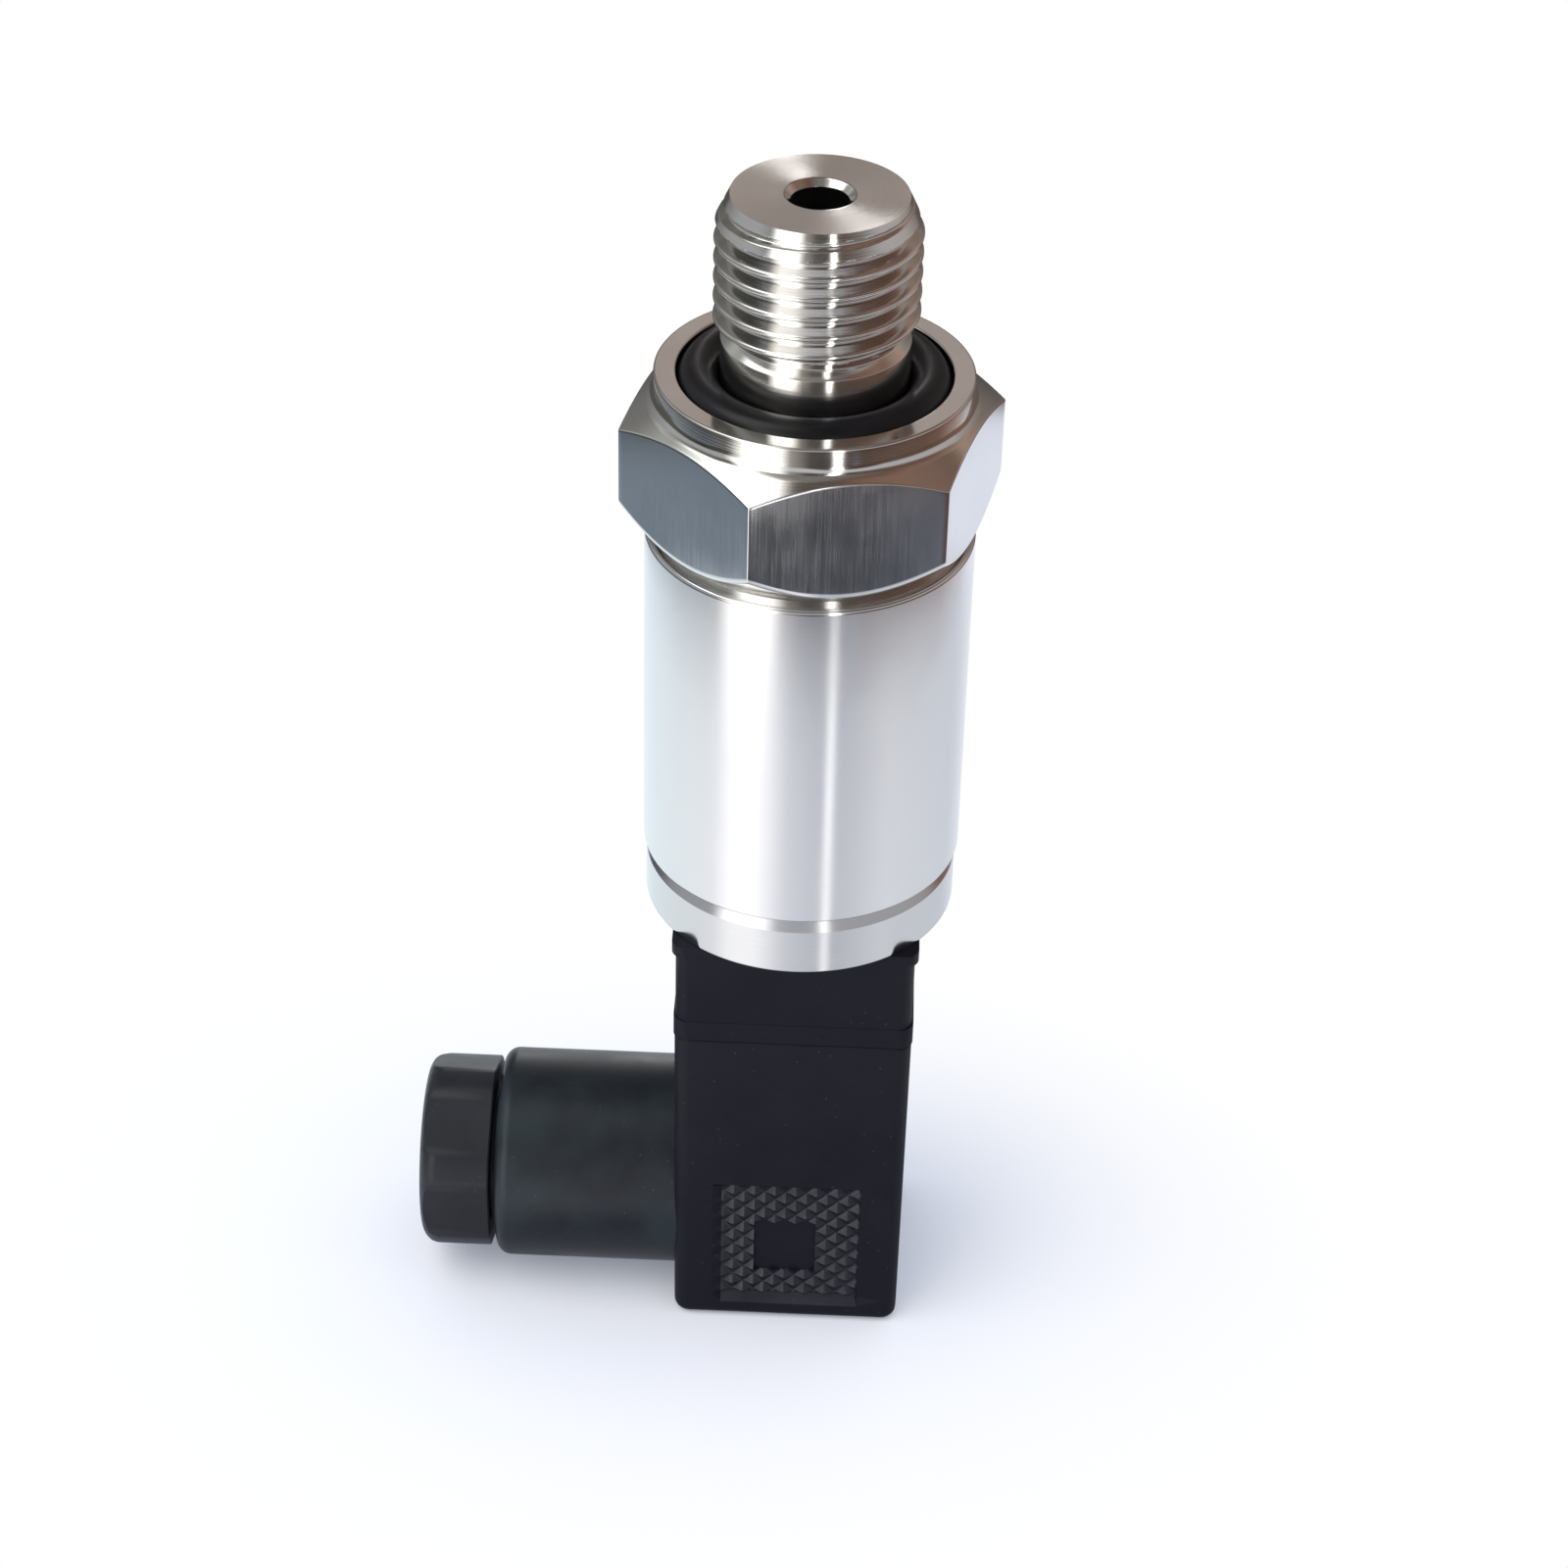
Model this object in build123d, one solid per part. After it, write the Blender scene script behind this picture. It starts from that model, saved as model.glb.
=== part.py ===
from build123d import *
import os
from math import cos, pi, radians, tan

# Pressure transmitter with a G 1/4 pressure thread and a small square plug connector.
# Millimetres. The plug stands on its end face at z = 0 and the pressure thread points up +Z.
# The origin is on the main axis in that end face. The cable gland points along -X.

# Plug housing
PLUG_HEIGHT = 25.8
PLUG_WIDTH = 16.5
PLUG_DRAFT = 0.3
PLUG_CORNER_RADIUS = 1.1
PLUG_FOOT_RADIUS = 0.8
PLUG_WALL = 1.25
PLUG_FLOOR = 2.0
CARRIER_LEDGE = 0.7
CARRIER_LEDGE_HEIGHT = 13.5

# Grip panel, a shallow recess in the front and the back of the plug
PANEL_LEFT = -4.8
PANEL_RIGHT = 5.15
PANEL_BOTTOM = 2.1
PANEL_TOP = 12.6
PANEL_DEPTH = 0.55
PANEL_LEFT_SLOPE = 0.65
PANEL_RIGHT_SLOPE = 0.15
PANEL_BOTTOM_SLOPE = 0.7
PANEL_TOP_SLOPE = 0.1

# Grip diamonds, pyramids on the floor of the panel round a bare window
DIAMOND_PITCH_ACROSS = 1.5
DIAMOND_PITCH_UP = 1.44
DIAMOND_HEIGHT = 0.45
DIAMOND_CLEARANCE = 0.03
WINDOW_LEFT = -2.35
WINDOW_RIGHT = 2.05
WINDOW_BOTTOM = 4.4
WINDOW_TOP = 9.05
WINDOW_CORNER_RADIUS = 0.4

# Cable gland, measured outward from the main axis along -X
GLAND_AXIS_HEIGHT = 8.1
GLAND_TUBE_DIAMETER = 15.26
GLAND_TUBE_LENGTH = 13.05
GLAND_TUBE_ROUNDING = 1.0
GLAND_THREAD_DIAMETER = 12.1
GLAND_INNER_BORE = 9.0
GLAND_NUT_DIAMETER = 14.1
GLAND_NUT_ACROSS_FLATS = 13.07
GLAND_NUT_LENGTH = 5.1
GLAND_NUT_ROUNDING = 1.3
GLAND_NUT_GAP = 0.4
GLAND_NUT_TURN = -3.5
GLAND_SHANK_LENGTH = 6.0
GLAND_NUT_BORE = 7.0
GLAND_WASHER_THICKNESS = 0.8
GROMMET_LENGTH = 6.0
GROMMET_DIAMETER = 11.1
CABLE_BORE = 5.6

# Fixing screw, held captive in the plug by its washer
SCREW_DIAMETER = 2.96
SCREW_HEAD_DIAMETER = 5.5
SCREW_HEAD_HEIGHT = 2.0
SCREW_HEAD_INSET = 2.8
SCREW_WASHER_THICKNESS = 0.6
SCREW_WASHER_DIAMETER = 5.2
SCREW_BOSS_WALL = 1.0
SCREW_BOSS_THICKNESS = 1.6
SCREW_SLOT_WIDTH = 0.8
SCREW_SLOT_DEPTH = 1.0
SCREW_ENGAGEMENT = 2.5

# Contacts, four stations on a square about the axis
CONTACT_SPACING = 8.0
BLADE_WIDTH = 2.8
BLADE_THICKNESS = 0.5
BLADE_REACH = 9.8
BLADE_TAIL = 2.0
BLADE_TIP_CHAMFER = 0.6
SOCKET_WIDTH = 3.5
SOCKET_DEPTH = 2.4
SOCKET_ROOF = 1.0
CARRIER_TOP_INSET = 0.3
CARRIER_PILLAR_DIAMETER = 5.4
TERMINAL_HEIGHT = 1.5
TERMINAL_SCREW_DIAMETER = 1.5
TERMINAL_SCREW_LENGTH = 0.7
TERMINAL_HEAD_DIAMETER = 2.4
TERMINAL_HEAD_HEIGHT = 0.7
TERMINAL_WIRE_BORE = 1.5

# Gasket, connector base and end ring
GASKET_THICKNESS = 1.6
GASKET_WIDTH = 16.64
PEDESTAL_HEIGHT = 5.7
PEDESTAL_WIDTH = 16.4
FLANGE_THICKNESS = 0.9
FLANGE_WIDTH = 16.9
BASE_CORNER_RADIUS = 1.0
BASE_SPIGOT_HEIGHT = 5.0
BASE_SPIGOT_WALL = 1.0
INSERT_DEPTH = 0.8
INSERT_LENGTH = 5.0
INSERT_DIAMETER = 4.6
INSERT_GROOVE = 0.25
RING_HEIGHT = 4.3
RING_DIAMETER = 21.3
RING_CHAMFER_HEIGHT = 0.93
RING_CHAMFER_DEPTH = 0.45
RING_BORE = 16.0
RING_SKIRT_HEIGHT = 4.6
RING_SEAL_SECTION = 0.84
RING_SEAL_RISE = 2.0

# Housing sleeve and the pressure connection
SLEEVE_GAP = 0.1
SLEEVE_LENGTH = 24.5
SLEEVE_DIAMETER = 21.7
SLEEVE_WALL = 1.0
SLEEVE_EDGE = 0.12
NECK_HEIGHT = 0.45
NECK_DIAMETER = 20.1
HEX_HEIGHT = 9.25
HEX_ACROSS_FLATS = 22.0
HEX_TURN = 13.4
HEX_FOOT_DIAMETER = 20.7
HEX_FOOT_ANGLE = 45.0
HEX_TOP_ANGLE = 33.0
COLLAR_DIAMETER = 20.6
COLLAR_HEIGHT = 1.7
COLLAR_FILLET = 1.1
COLLAR_EDGE = 0.15
SEAL_RECESS_DEPTH = 2.2
SEAL_SECTION = 2.7
SEAL_SIDE_CLEARANCE = 0.09
SPIGOT_DIAMETER = 12.16
SPIGOT_HEIGHT = 2.45
SPIGOT_CHAMFER_HEIGHT = 0.5
UNDERCUT_HEIGHT = 0.85
UNDERCUT_RELIEF = 0.22
THREAD_DIAMETER = 13.157
THREAD_PITCH = 1.337
THREAD_LENGTH = 6.5
THREAD_FOOT_CHAMFER = 0.5
LEAD_IN_HEIGHT = 2.0
LEAD_IN_FACE_DIAMETER = 11.24
PRESSURE_BORE = 3.7
PRESSURE_BORE_CHAMFER = 0.35

# Sensing capsule and what holds it in the pressure connection
SKIRT_LENGTH = 9.9
CAPSULE_DIAMETER = 15.0
CAPSULE_HEIGHT = 5.9
CAPSULE_STEP_HEIGHT = 3.4
CAPSULE_STEP_DIAMETER = 10.6
CAPSULE_DISH_DIAMETER = 8.8
CAPSULE_DISH_DEPTH = 0.4
CAPSULE_SEAL_SECTION = 1.6
CAPSULE_SEAL_DIAMETER = 11.6
RETAINER_DIAMETER = 17.0
RETAINER_HEIGHT = 4.0
RETAINER_INSET = 1.5
RETAINER_SLOT_WIDTH = 1.6
RETAINER_SLOT_DEPTH = 1.2

# Circuit boards
SPACER_HEIGHT = 1.5
SPACER_BORE = 15.4
SENSOR_BOARD_CLEARANCE = 0.45
SENSOR_BOARD_THICKNESS = 1.2
MAIN_BOARD_WIDTH = 15.2
MAIN_BOARD_THICKNESS = 1.0
PIN_COUNT = 5
PIN_DIAMETER = 0.6
PIN_CIRCLE_DIAMETER = 7.0
PIN_FIRST_ANGLE = 54.0
PIN_OVERHANG = 0.7
WIRE_DIAMETER = 0.9
WIRE_BEND_RADIUS = 0.7
OUTER_PAD_OFFSET = 5.6
INNER_PAD_OFFSET = 1.5

# Clearances
RUNNING_CLEARANCE = 0.07
PASSING_CLEARANCE = 0.15
SLIP_CLEARANCE = 0.1
SLOT_CLEARANCE = 0.05
BLADE_CLEARANCE = 0.1
CHANNEL_CLEARANCE = 0.2

# Levels up the axis
BASE_Z = PLUG_HEIGHT + GASKET_THICKNESS
FLANGE_Z = BASE_Z + PEDESTAL_HEIGHT
RING_Z = FLANGE_Z + FLANGE_THICKNESS
RING_TOP_Z = RING_Z + RING_HEIGHT
SLEEVE_Z = RING_TOP_Z + SLEEVE_GAP
NECK_Z = SLEEVE_Z + SLEEVE_LENGTH
HEX_Z = NECK_Z + NECK_HEIGHT
COLLAR_Z = HEX_Z + HEX_HEIGHT
RIM_Z = COLLAR_Z + COLLAR_HEIGHT
SEAL_Z = RIM_Z - SEAL_RECESS_DEPTH
SPIGOT_TOP_Z = RIM_Z + SPIGOT_HEIGHT
UNDERCUT_Z = SPIGOT_TOP_Z + SPIGOT_CHAMFER_HEIGHT
THREAD_Z = UNDERCUT_Z + UNDERCUT_HEIGHT
LEAD_IN_Z = THREAD_Z + THREAD_LENGTH
TOP_Z = LEAD_IN_Z + LEAD_IN_HEIGHT
SKIRT_Z = NECK_Z - SKIRT_LENGTH
RETAINER_Z = SKIRT_Z + RETAINER_INSET
CAPSULE_Z = RETAINER_Z + RETAINER_HEIGHT
CAPSULE_SEAL_Z = CAPSULE_Z + CAPSULE_HEIGHT
CHAMBER_ROOF_Z = CAPSULE_SEAL_Z + CAPSULE_SEAL_SECTION
SPIGOT_RIM_Z = RING_Z + BASE_SPIGOT_HEIGHT
SENSOR_BOARD_TOP_Z = SKIRT_Z - SPACER_HEIGHT
SENSOR_BOARD_Z = SENSOR_BOARD_TOP_Z - SENSOR_BOARD_THICKNESS
SCREW_RECESS_DEPTH = SCREW_HEAD_INSET + SCREW_HEAD_HEIGHT + SCREW_WASHER_THICKNESS
SCREW_SEAT_Z = SCREW_RECESS_DEPTH - SCREW_WASHER_THICKNESS
BOSS_TOP_Z = SCREW_RECESS_DEPTH + SCREW_BOSS_THICKNESS
INSERT_Z = BASE_Z + INSERT_DEPTH
SCREW_TIP_Z = INSERT_Z + SCREW_ENGAGEMENT
CARRIER_TOP_Z = PLUG_HEIGHT - CARRIER_TOP_INSET
SOCKET_TOP_Z = CARRIER_TOP_Z - SOCKET_ROOF
BLADE_TIP_Z = BASE_Z - BLADE_REACH
BLADE_TOP_Z = RING_Z + BLADE_TAIL
TERMINAL_Z = CARRIER_LEDGE_HEIGHT + TERMINAL_HEIGHT

# Radii and half widths that follow from the sizes above
CAVITY_HALF = PLUG_WIDTH / 2 - PLUG_WALL
CHAMBER_HALF = CAVITY_HALF - CARRIER_LEDGE
SCREW_RADIUS = SCREW_DIAMETER / 2
SCREW_HOLE_RADIUS = SCREW_RADIUS + RUNNING_CLEARANCE
SCREW_PASSAGE_RADIUS = SCREW_RADIUS + PASSING_CLEARANCE
SCREW_RECESS_RADIUS = SCREW_HEAD_DIAMETER / 2 + CHANNEL_CLEARANCE
CONTACT_RADIUS = CONTACT_SPACING / 2
SLEEVE_INNER_RADIUS = SLEEVE_DIAMETER / 2 - SLEEVE_WALL
SKIRT_RADIUS = SLEEVE_INNER_RADIUS - SLIP_CLEARANCE
SENSOR_BOARD_RADIUS = SLEEVE_INNER_RADIUS - SENSOR_BOARD_CLEARANCE
HEX_CORNER_RADIUS = HEX_ACROSS_FLATS / 2 / cos(pi / 6)
UNDERCUT_RADIUS = THREAD_DIAMETER / 2 - 0.640327 * THREAD_PITCH - UNDERCUT_RELIEF
RETAINER_BORE_RADIUS = RETAINER_DIAMETER / 2 + SLIP_CLEARANCE
SEAL_RECESS_RADIUS = SPIGOT_DIAMETER / 2 + SEAL_SECTION + SEAL_SIDE_CLEARANCE
CAPSULE_BORE_RADIUS = CAPSULE_DIAMETER / 2 + CHANNEL_CLEARANCE
RING_GROOVE_RADIUS = SLEEVE_INNER_RADIUS - RING_SEAL_SECTION

# Stations along the gland, outward from the main axis
GLAND_END = PLUG_WIDTH / 2 + GLAND_TUBE_LENGTH
NUT_HEAD_AT = GLAND_END + GLAND_NUT_GAP
SHANK_END_AT = NUT_HEAD_AT - GLAND_SHANK_LENGTH
GLAND_WASHER_AT = SHANK_END_AT - GLAND_WASHER_THICKNESS
GROMMET_AT = GLAND_WASHER_AT - GROMMET_LENGTH
SHANK_RADIUS = GLAND_THREAD_DIAMETER / 2 - RUNNING_CLEARANCE

CONTACT_ANGLES = {"1": 0, "2": 180, "3": 90, "earth": 270}


def turned(*corners):
    """Solid turned about Z. A corner is (radius, height) or (radius, height, rounding)."""
    points = [(corner[0], 0, corner[1]) for corner in corners]
    roundings = [corner[2] if len(corner) > 2 else 0 for corner in corners]
    outline = FilletPolyline(*points, radius=roundings, close=True)
    return revolve(make_face(outline.edges()), Axis.Z)


def disc(radius, bottom, top):
    """Plain round bar between two levels."""
    return turned((0, bottom), (radius, bottom), (radius, top), (0, top))


def tube(inner, outer, bottom, top):
    """Plain round tube between two levels."""
    return turned((inner, bottom), (outer, bottom), (outer, top), (inner, top))


def square_bar(width, corner, bottom, top):
    """Square bar with rounded upright edges between two levels."""
    return Pos(0, 0, bottom) * extrude(RectangleRounded(width, width, corner), top - bottom)


def hex_bar(across_flats, turn, bottom, top):
    """Hexagon bar between two levels, its first corner turned from +X."""
    outline = RegularPolygon(across_flats / 2, 6, major_radius=False, rotation=turn)
    return Pos(0, 0, bottom) * extrude(outline, top - bottom)


def on_gland(shape):
    """Lay a shape built up +Z along the gland axis, so that up becomes outward."""
    return Pos(0, 0, GLAND_AXIS_HEIGHT) * Rot(0, -90, 0) * shape


def at_contact(angle, shape):
    """Carry a shape to a contact station, with its own X pointing outward."""
    return Rot(0, 0, angle) * Pos(CONTACT_RADIUS, 0, 0) * shape


def at_all_contacts(shape):
    """The same shape at all four contact stations."""
    return [at_contact(angle, shape) for angle in CONTACT_ANGLES.values()]


def joined(shapes):
    """One node from several solids."""
    result = shapes[0]
    for shape in shapes[1:]:
        result += shape
    return result


def slab(depth, width, bottom, top):
    """Flat bar at the origin between two levels, depth along X and width along Y."""
    return Pos(0, 0, (bottom + top) / 2) * Box(depth, width, top - bottom)


def panel_outline(left, right, bottom, top, depth):
    """Rectangle in a plane parallel to the front face, at a depth behind it."""
    plane = Plane((0, depth - PLUG_WIDTH / 2, 0), x_dir=(1, 0, 0), z_dir=(0, -1, 0))
    centre = ((left + right) / 2, (bottom + top) / 2)
    return plane * Pos(*centre) * Rectangle(right - left, top - bottom)


def panel_recess():
    """Recess with sloping walls, carried on as far again in front of the face."""
    floor = panel_outline(PANEL_LEFT, PANEL_RIGHT, PANEL_BOTTOM, PANEL_TOP, PANEL_DEPTH)
    mouth = panel_outline(
        PANEL_LEFT - 2 * PANEL_LEFT_SLOPE,
        PANEL_RIGHT + 2 * PANEL_RIGHT_SLOPE,
        PANEL_BOTTOM - 2 * PANEL_BOTTOM_SLOPE,
        PANEL_TOP + 2 * PANEL_TOP_SLOPE,
        -PANEL_DEPTH,
    )
    return loft([floor.face(), mouth.face()])


def grip_region():
    """Space in front of the panel's floor and round its window, as deep as the panel."""
    floor = panel_outline(PANEL_LEFT, PANEL_RIGHT, PANEL_BOTTOM, PANEL_TOP, PANEL_DEPTH)
    window = panel_outline(WINDOW_LEFT, WINDOW_RIGHT, WINDOW_BOTTOM, WINDOW_TOP, PANEL_DEPTH)
    window = fillet(window.vertices(), WINDOW_CORNER_RADIUS)
    return extrude(floor.face(), PANEL_DEPTH) - extrude(window.face(), PANEL_DEPTH)


def grip_diamonds():
    """Pyramids on a staggered lattice centred on the window, cut off at the edges of their region."""
    half_across = DIAMOND_PITCH_ACROSS / 2
    half_up = DIAMOND_PITCH_UP / 2
    across = half_across - DIAMOND_CLEARANCE
    up = half_up - DIAMOND_CLEARANCE
    rhombus = Polygon((across, 0), (0, up), (-across, 0), (0, -up))
    pyramid = loft([rhombus.face(), Vertex(0, 0, DIAMOND_HEIGHT)])
    floor = Plane((0, PANEL_DEPTH - PLUG_WIDTH / 2, 0), x_dir=(1, 0, 0), z_dir=(0, -1, 0))
    middle_x = (WINDOW_LEFT + WINDOW_RIGHT) / 2
    middle_z = (WINDOW_BOTTOM + WINDOW_TOP) / 2
    columns = int((PANEL_RIGHT - PANEL_LEFT) / half_across)
    rows = int((PANEL_TOP - PANEL_BOTTOM) / half_up)
    diamonds = []
    for column in range(-columns, columns + 1):
        for row in range(-rows, rows + 1):
            x = middle_x + column * half_across
            z = middle_z + row * half_up
            reached = PANEL_LEFT < x + across and x - across < PANEL_RIGHT
            reached = reached and PANEL_BOTTOM < z + up and z - up < PANEL_TOP
            if (row + column) % 2 == 0 and reached:
                diamonds.append(floor * Pos(x, z) * pyramid)
    region = grip_region()
    return [piece for diamond in diamonds for piece in (diamond & region).solids()]


def plug_block():
    """Drafted square block with a rounded foot."""
    top = Pos(0, 0, PLUG_HEIGHT) * RectangleRounded(PLUG_WIDTH, PLUG_WIDTH, PLUG_CORNER_RADIUS)
    block = extrude(top, -PLUG_HEIGHT, taper=PLUG_DRAFT)
    foot = block.faces().sort_by(Axis.Z)[0]
    return fillet(foot.edges(), PLUG_FOOT_RADIUS)


def plug_housing():
    """Moulded housing with the gland tube, wiring chamber, screw boss and grip panels."""
    radius = GLAND_TUBE_DIAMETER / 2
    gland = turned((0, 0), (radius, 0), (radius, GLAND_END, GLAND_TUBE_ROUNDING), (0, GLAND_END))
    body = plug_block() + on_gland(gland)
    body -= square_bar(2 * CHAMBER_HALF, CARRIER_LEDGE, PLUG_FLOOR, CARRIER_LEDGE_HEIGHT)
    body -= square_bar(2 * CAVITY_HALF, CARRIER_LEDGE, CARRIER_LEDGE_HEIGHT, PLUG_HEIGHT)
    body += disc(SCREW_RECESS_RADIUS + SCREW_BOSS_WALL, PLUG_FLOOR / 2, BOSS_TOP_Z)
    body -= disc(SCREW_RECESS_RADIUS, 0, SCREW_RECESS_DEPTH)
    body -= disc(SCREW_PASSAGE_RADIUS, SCREW_RECESS_DEPTH, BOSS_TOP_Z)
    body -= on_gland(disc(GLAND_THREAD_DIAMETER / 2, GLAND_WASHER_AT - SLIP_CLEARANCE, GLAND_END))
    body -= on_gland(disc(GROMMET_DIAMETER / 2 + SLOT_CLEARANCE, GROMMET_AT, GLAND_END))
    body -= on_gland(disc(GLAND_INNER_BORE / 2, CHAMBER_HALF - CARRIER_LEDGE, GLAND_END))
    front = panel_recess()
    body -= front
    body -= mirror(front, Plane.XZ)
    diamonds = grip_diamonds()
    body += diamonds
    body += [mirror(diamond, Plane.XZ) for diamond in diamonds]
    return body


def contact_carrier():
    """Insulating block that holds the four sockets, with a pillar round the fixing screw."""
    width = 2 * (CAVITY_HALF - SLIP_CLEARANCE)
    body = square_bar(width, CARRIER_LEDGE, CARRIER_LEDGE_HEIGHT, CARRIER_TOP_Z)
    body += disc(CARRIER_PILLAR_DIAMETER / 2, BOSS_TOP_Z, CARRIER_LEDGE_HEIGHT)
    body -= disc(SCREW_PASSAGE_RADIUS, BOSS_TOP_Z, CARRIER_TOP_Z)
    pocket = slab(
        SOCKET_DEPTH + 2 * SLOT_CLEARANCE,
        SOCKET_WIDTH + 2 * SLOT_CLEARANCE,
        CARRIER_LEDGE_HEIGHT,
        SOCKET_TOP_Z,
    )
    mouth = slab(
        BLADE_THICKNESS + 4 * BLADE_CLEARANCE,
        BLADE_WIDTH + 4 * BLADE_CLEARANCE,
        SOCKET_TOP_Z,
        CARRIER_TOP_Z,
    )
    reach = width / 2 - CONTACT_RADIUS
    window = Rot(0, 90, 0) * disc(TERMINAL_HEAD_DIAMETER / 2 + SLIP_CLEARANCE, 0, reach)
    window = Pos(0, 0, TERMINAL_Z) * window
    for station in at_all_contacts(pocket + mouth + window):
        body -= station
    return body


def socket_contact(angle):
    """Brass socket with a slot for the blade and a wire clamp below it."""
    body = slab(SOCKET_DEPTH, SOCKET_WIDTH, CARRIER_LEDGE_HEIGHT, SOCKET_TOP_Z)
    body -= slab(
        BLADE_THICKNESS + 2 * BLADE_CLEARANCE,
        BLADE_WIDTH + 2 * BLADE_CLEARANCE,
        BLADE_TIP_Z - 2 * BLADE_CLEARANCE,
        SOCKET_TOP_Z,
    )
    wire_top = TERMINAL_Z + TERMINAL_SCREW_DIAMETER
    body -= disc(TERMINAL_WIRE_BORE / 2, CARRIER_LEDGE_HEIGHT, wire_top)
    tapped = disc(TERMINAL_SCREW_DIAMETER / 2 + SLOT_CLEARANCE, 0, SOCKET_DEPTH / 2)
    body -= Pos(0, 0, TERMINAL_Z) * Rot(0, 90, 0) * tapped
    return at_contact(angle, body)


def terminal_screws():
    """The four slotted screws that clamp the wires in the sockets."""
    face = SOCKET_DEPTH / 2
    head = disc(TERMINAL_HEAD_DIAMETER / 2, face, face + TERMINAL_HEAD_HEIGHT)
    shank = disc(TERMINAL_SCREW_DIAMETER / 2, face - TERMINAL_SCREW_LENGTH, face)
    depth = TERMINAL_HEAD_HEIGHT / 2
    slot = slab(TERMINAL_HEAD_DIAMETER, depth, face + depth, face + TERMINAL_HEAD_HEIGHT)
    screw = Pos(0, 0, TERMINAL_Z) * Rot(0, 90, 0) * (head + shank - slot)
    return joined(at_all_contacts(screw))


def cable_grommet():
    """Rubber sleeve that the gland nut squeezes round the cable."""
    outer = GROMMET_DIAMETER / 2
    inner = CABLE_BORE / 2
    lead = SLIP_CLEARANCE * 4
    return on_gland(
        turned(
            (inner + lead, GROMMET_AT),
            (outer, GROMMET_AT),
            (outer, GLAND_WASHER_AT),
            (inner + lead, GLAND_WASHER_AT),
            (inner, GLAND_WASHER_AT - lead),
            (inner, GROMMET_AT + lead),
        )
    )


def gland_washer():
    """Thin ring between the gland nut and the grommet."""
    outer = GLAND_THREAD_DIAMETER / 2 - PASSING_CLEARANCE
    return on_gland(tube(GLAND_NUT_BORE / 2, outer, GLAND_WASHER_AT, SHANK_END_AT))


def gland_nut():
    """Screw-in gland nut, six flats between round corners and a rounded outer rim."""
    head_end = NUT_HEAD_AT + GLAND_NUT_LENGTH
    bore = GLAND_NUT_BORE / 2
    radius = GLAND_NUT_DIAMETER / 2
    mouth = GLAND_NUT_ROUNDING / 2
    head = turned(
        (0, NUT_HEAD_AT),
        (radius, NUT_HEAD_AT, SLIP_CLEARANCE),
        (radius, head_end, GLAND_NUT_ROUNDING),
        (0, head_end),
    )
    head &= hex_bar(GLAND_NUT_ACROSS_FLATS, GLAND_NUT_TURN, NUT_HEAD_AT, head_end)
    nut = head + disc(SHANK_RADIUS, SHANK_END_AT, NUT_HEAD_AT)
    nut -= disc(bore, SHANK_END_AT, head_end)
    flare = turned((0, head_end), (bore + mouth, head_end), (bore, head_end - mouth), (0, head_end - mouth))
    return on_gland(nut - flare)


def screw_washer():
    """Sealing washer under the head of the fixing screw."""
    return tube(SCREW_HOLE_RADIUS, SCREW_WASHER_DIAMETER / 2, SCREW_SEAT_Z, SCREW_RECESS_DEPTH)


def fixing_screw():
    """Slotted cheese-head screw that runs up through the plug into the base."""
    head_z = SCREW_HEAD_INSET
    radius = SCREW_HEAD_DIAMETER / 2
    edge = SCREW_SLOT_DEPTH / 4
    head = turned((0, head_z), (radius, head_z, edge), (radius, SCREW_SEAT_Z), (0, SCREW_SEAT_Z))
    shank = turned(
        (0, SCREW_SEAT_Z),
        (SCREW_RADIUS, SCREW_SEAT_Z),
        (SCREW_RADIUS, SCREW_TIP_Z - edge),
        (SCREW_RADIUS - edge, SCREW_TIP_Z),
        (0, SCREW_TIP_Z),
    )
    slot = slab(SCREW_SLOT_WIDTH, SCREW_HEAD_DIAMETER, head_z, head_z + SCREW_SLOT_DEPTH)
    return head + shank - slot


def blade_slots(clearance, bottom, top):
    """Slots for all four blades with a clearance all round."""
    depth = BLADE_THICKNESS + 2 * clearance
    width = BLADE_WIDTH + 2 * clearance
    return joined(at_all_contacts(slab(depth, width, bottom, top)))


def face_gasket():
    """Flat rubber gasket between the plug and the connector base."""
    body = square_bar(GASKET_WIDTH, BASE_CORNER_RADIUS, PLUG_HEIGHT, BASE_Z)
    body -= disc(SCREW_PASSAGE_RADIUS, PLUG_HEIGHT, BASE_Z)
    return body - blade_slots(BLADE_CLEARANCE, PLUG_HEIGHT, BASE_Z)


def connector_base():
    """Moulded base, a square pedestal and flange with a round spigot inside the end ring."""
    spigot = RING_BORE / 2 - SLIP_CLEARANCE
    body = square_bar(PEDESTAL_WIDTH, BASE_CORNER_RADIUS, BASE_Z, FLANGE_Z)
    body += square_bar(FLANGE_WIDTH, BASE_CORNER_RADIUS, FLANGE_Z, RING_Z)
    body += tube(spigot - BASE_SPIGOT_WALL, spigot, FLANGE_Z, SPIGOT_RIM_Z)
    body -= disc(SCREW_PASSAGE_RADIUS, BASE_Z, INSERT_Z)
    body -= disc(INSERT_DIAMETER / 2, INSERT_Z, RING_Z)
    return body - blade_slots(SLOT_CLEARANCE, BASE_Z, RING_Z)


def screw_insert():
    """Brass insert with two retaining grooves, pressed into the base."""
    outer = INSERT_DIAMETER / 2
    top = INSERT_Z + INSERT_LENGTH
    body = tube(SCREW_HOLE_RADIUS, outer, INSERT_Z, top)
    for share in (1 / 3, 2 / 3):
        level = INSERT_Z + share * INSERT_LENGTH
        body -= tube(outer - INSERT_GROOVE, outer, level - INSERT_GROOVE, level + INSERT_GROOVE)
    return body


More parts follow.
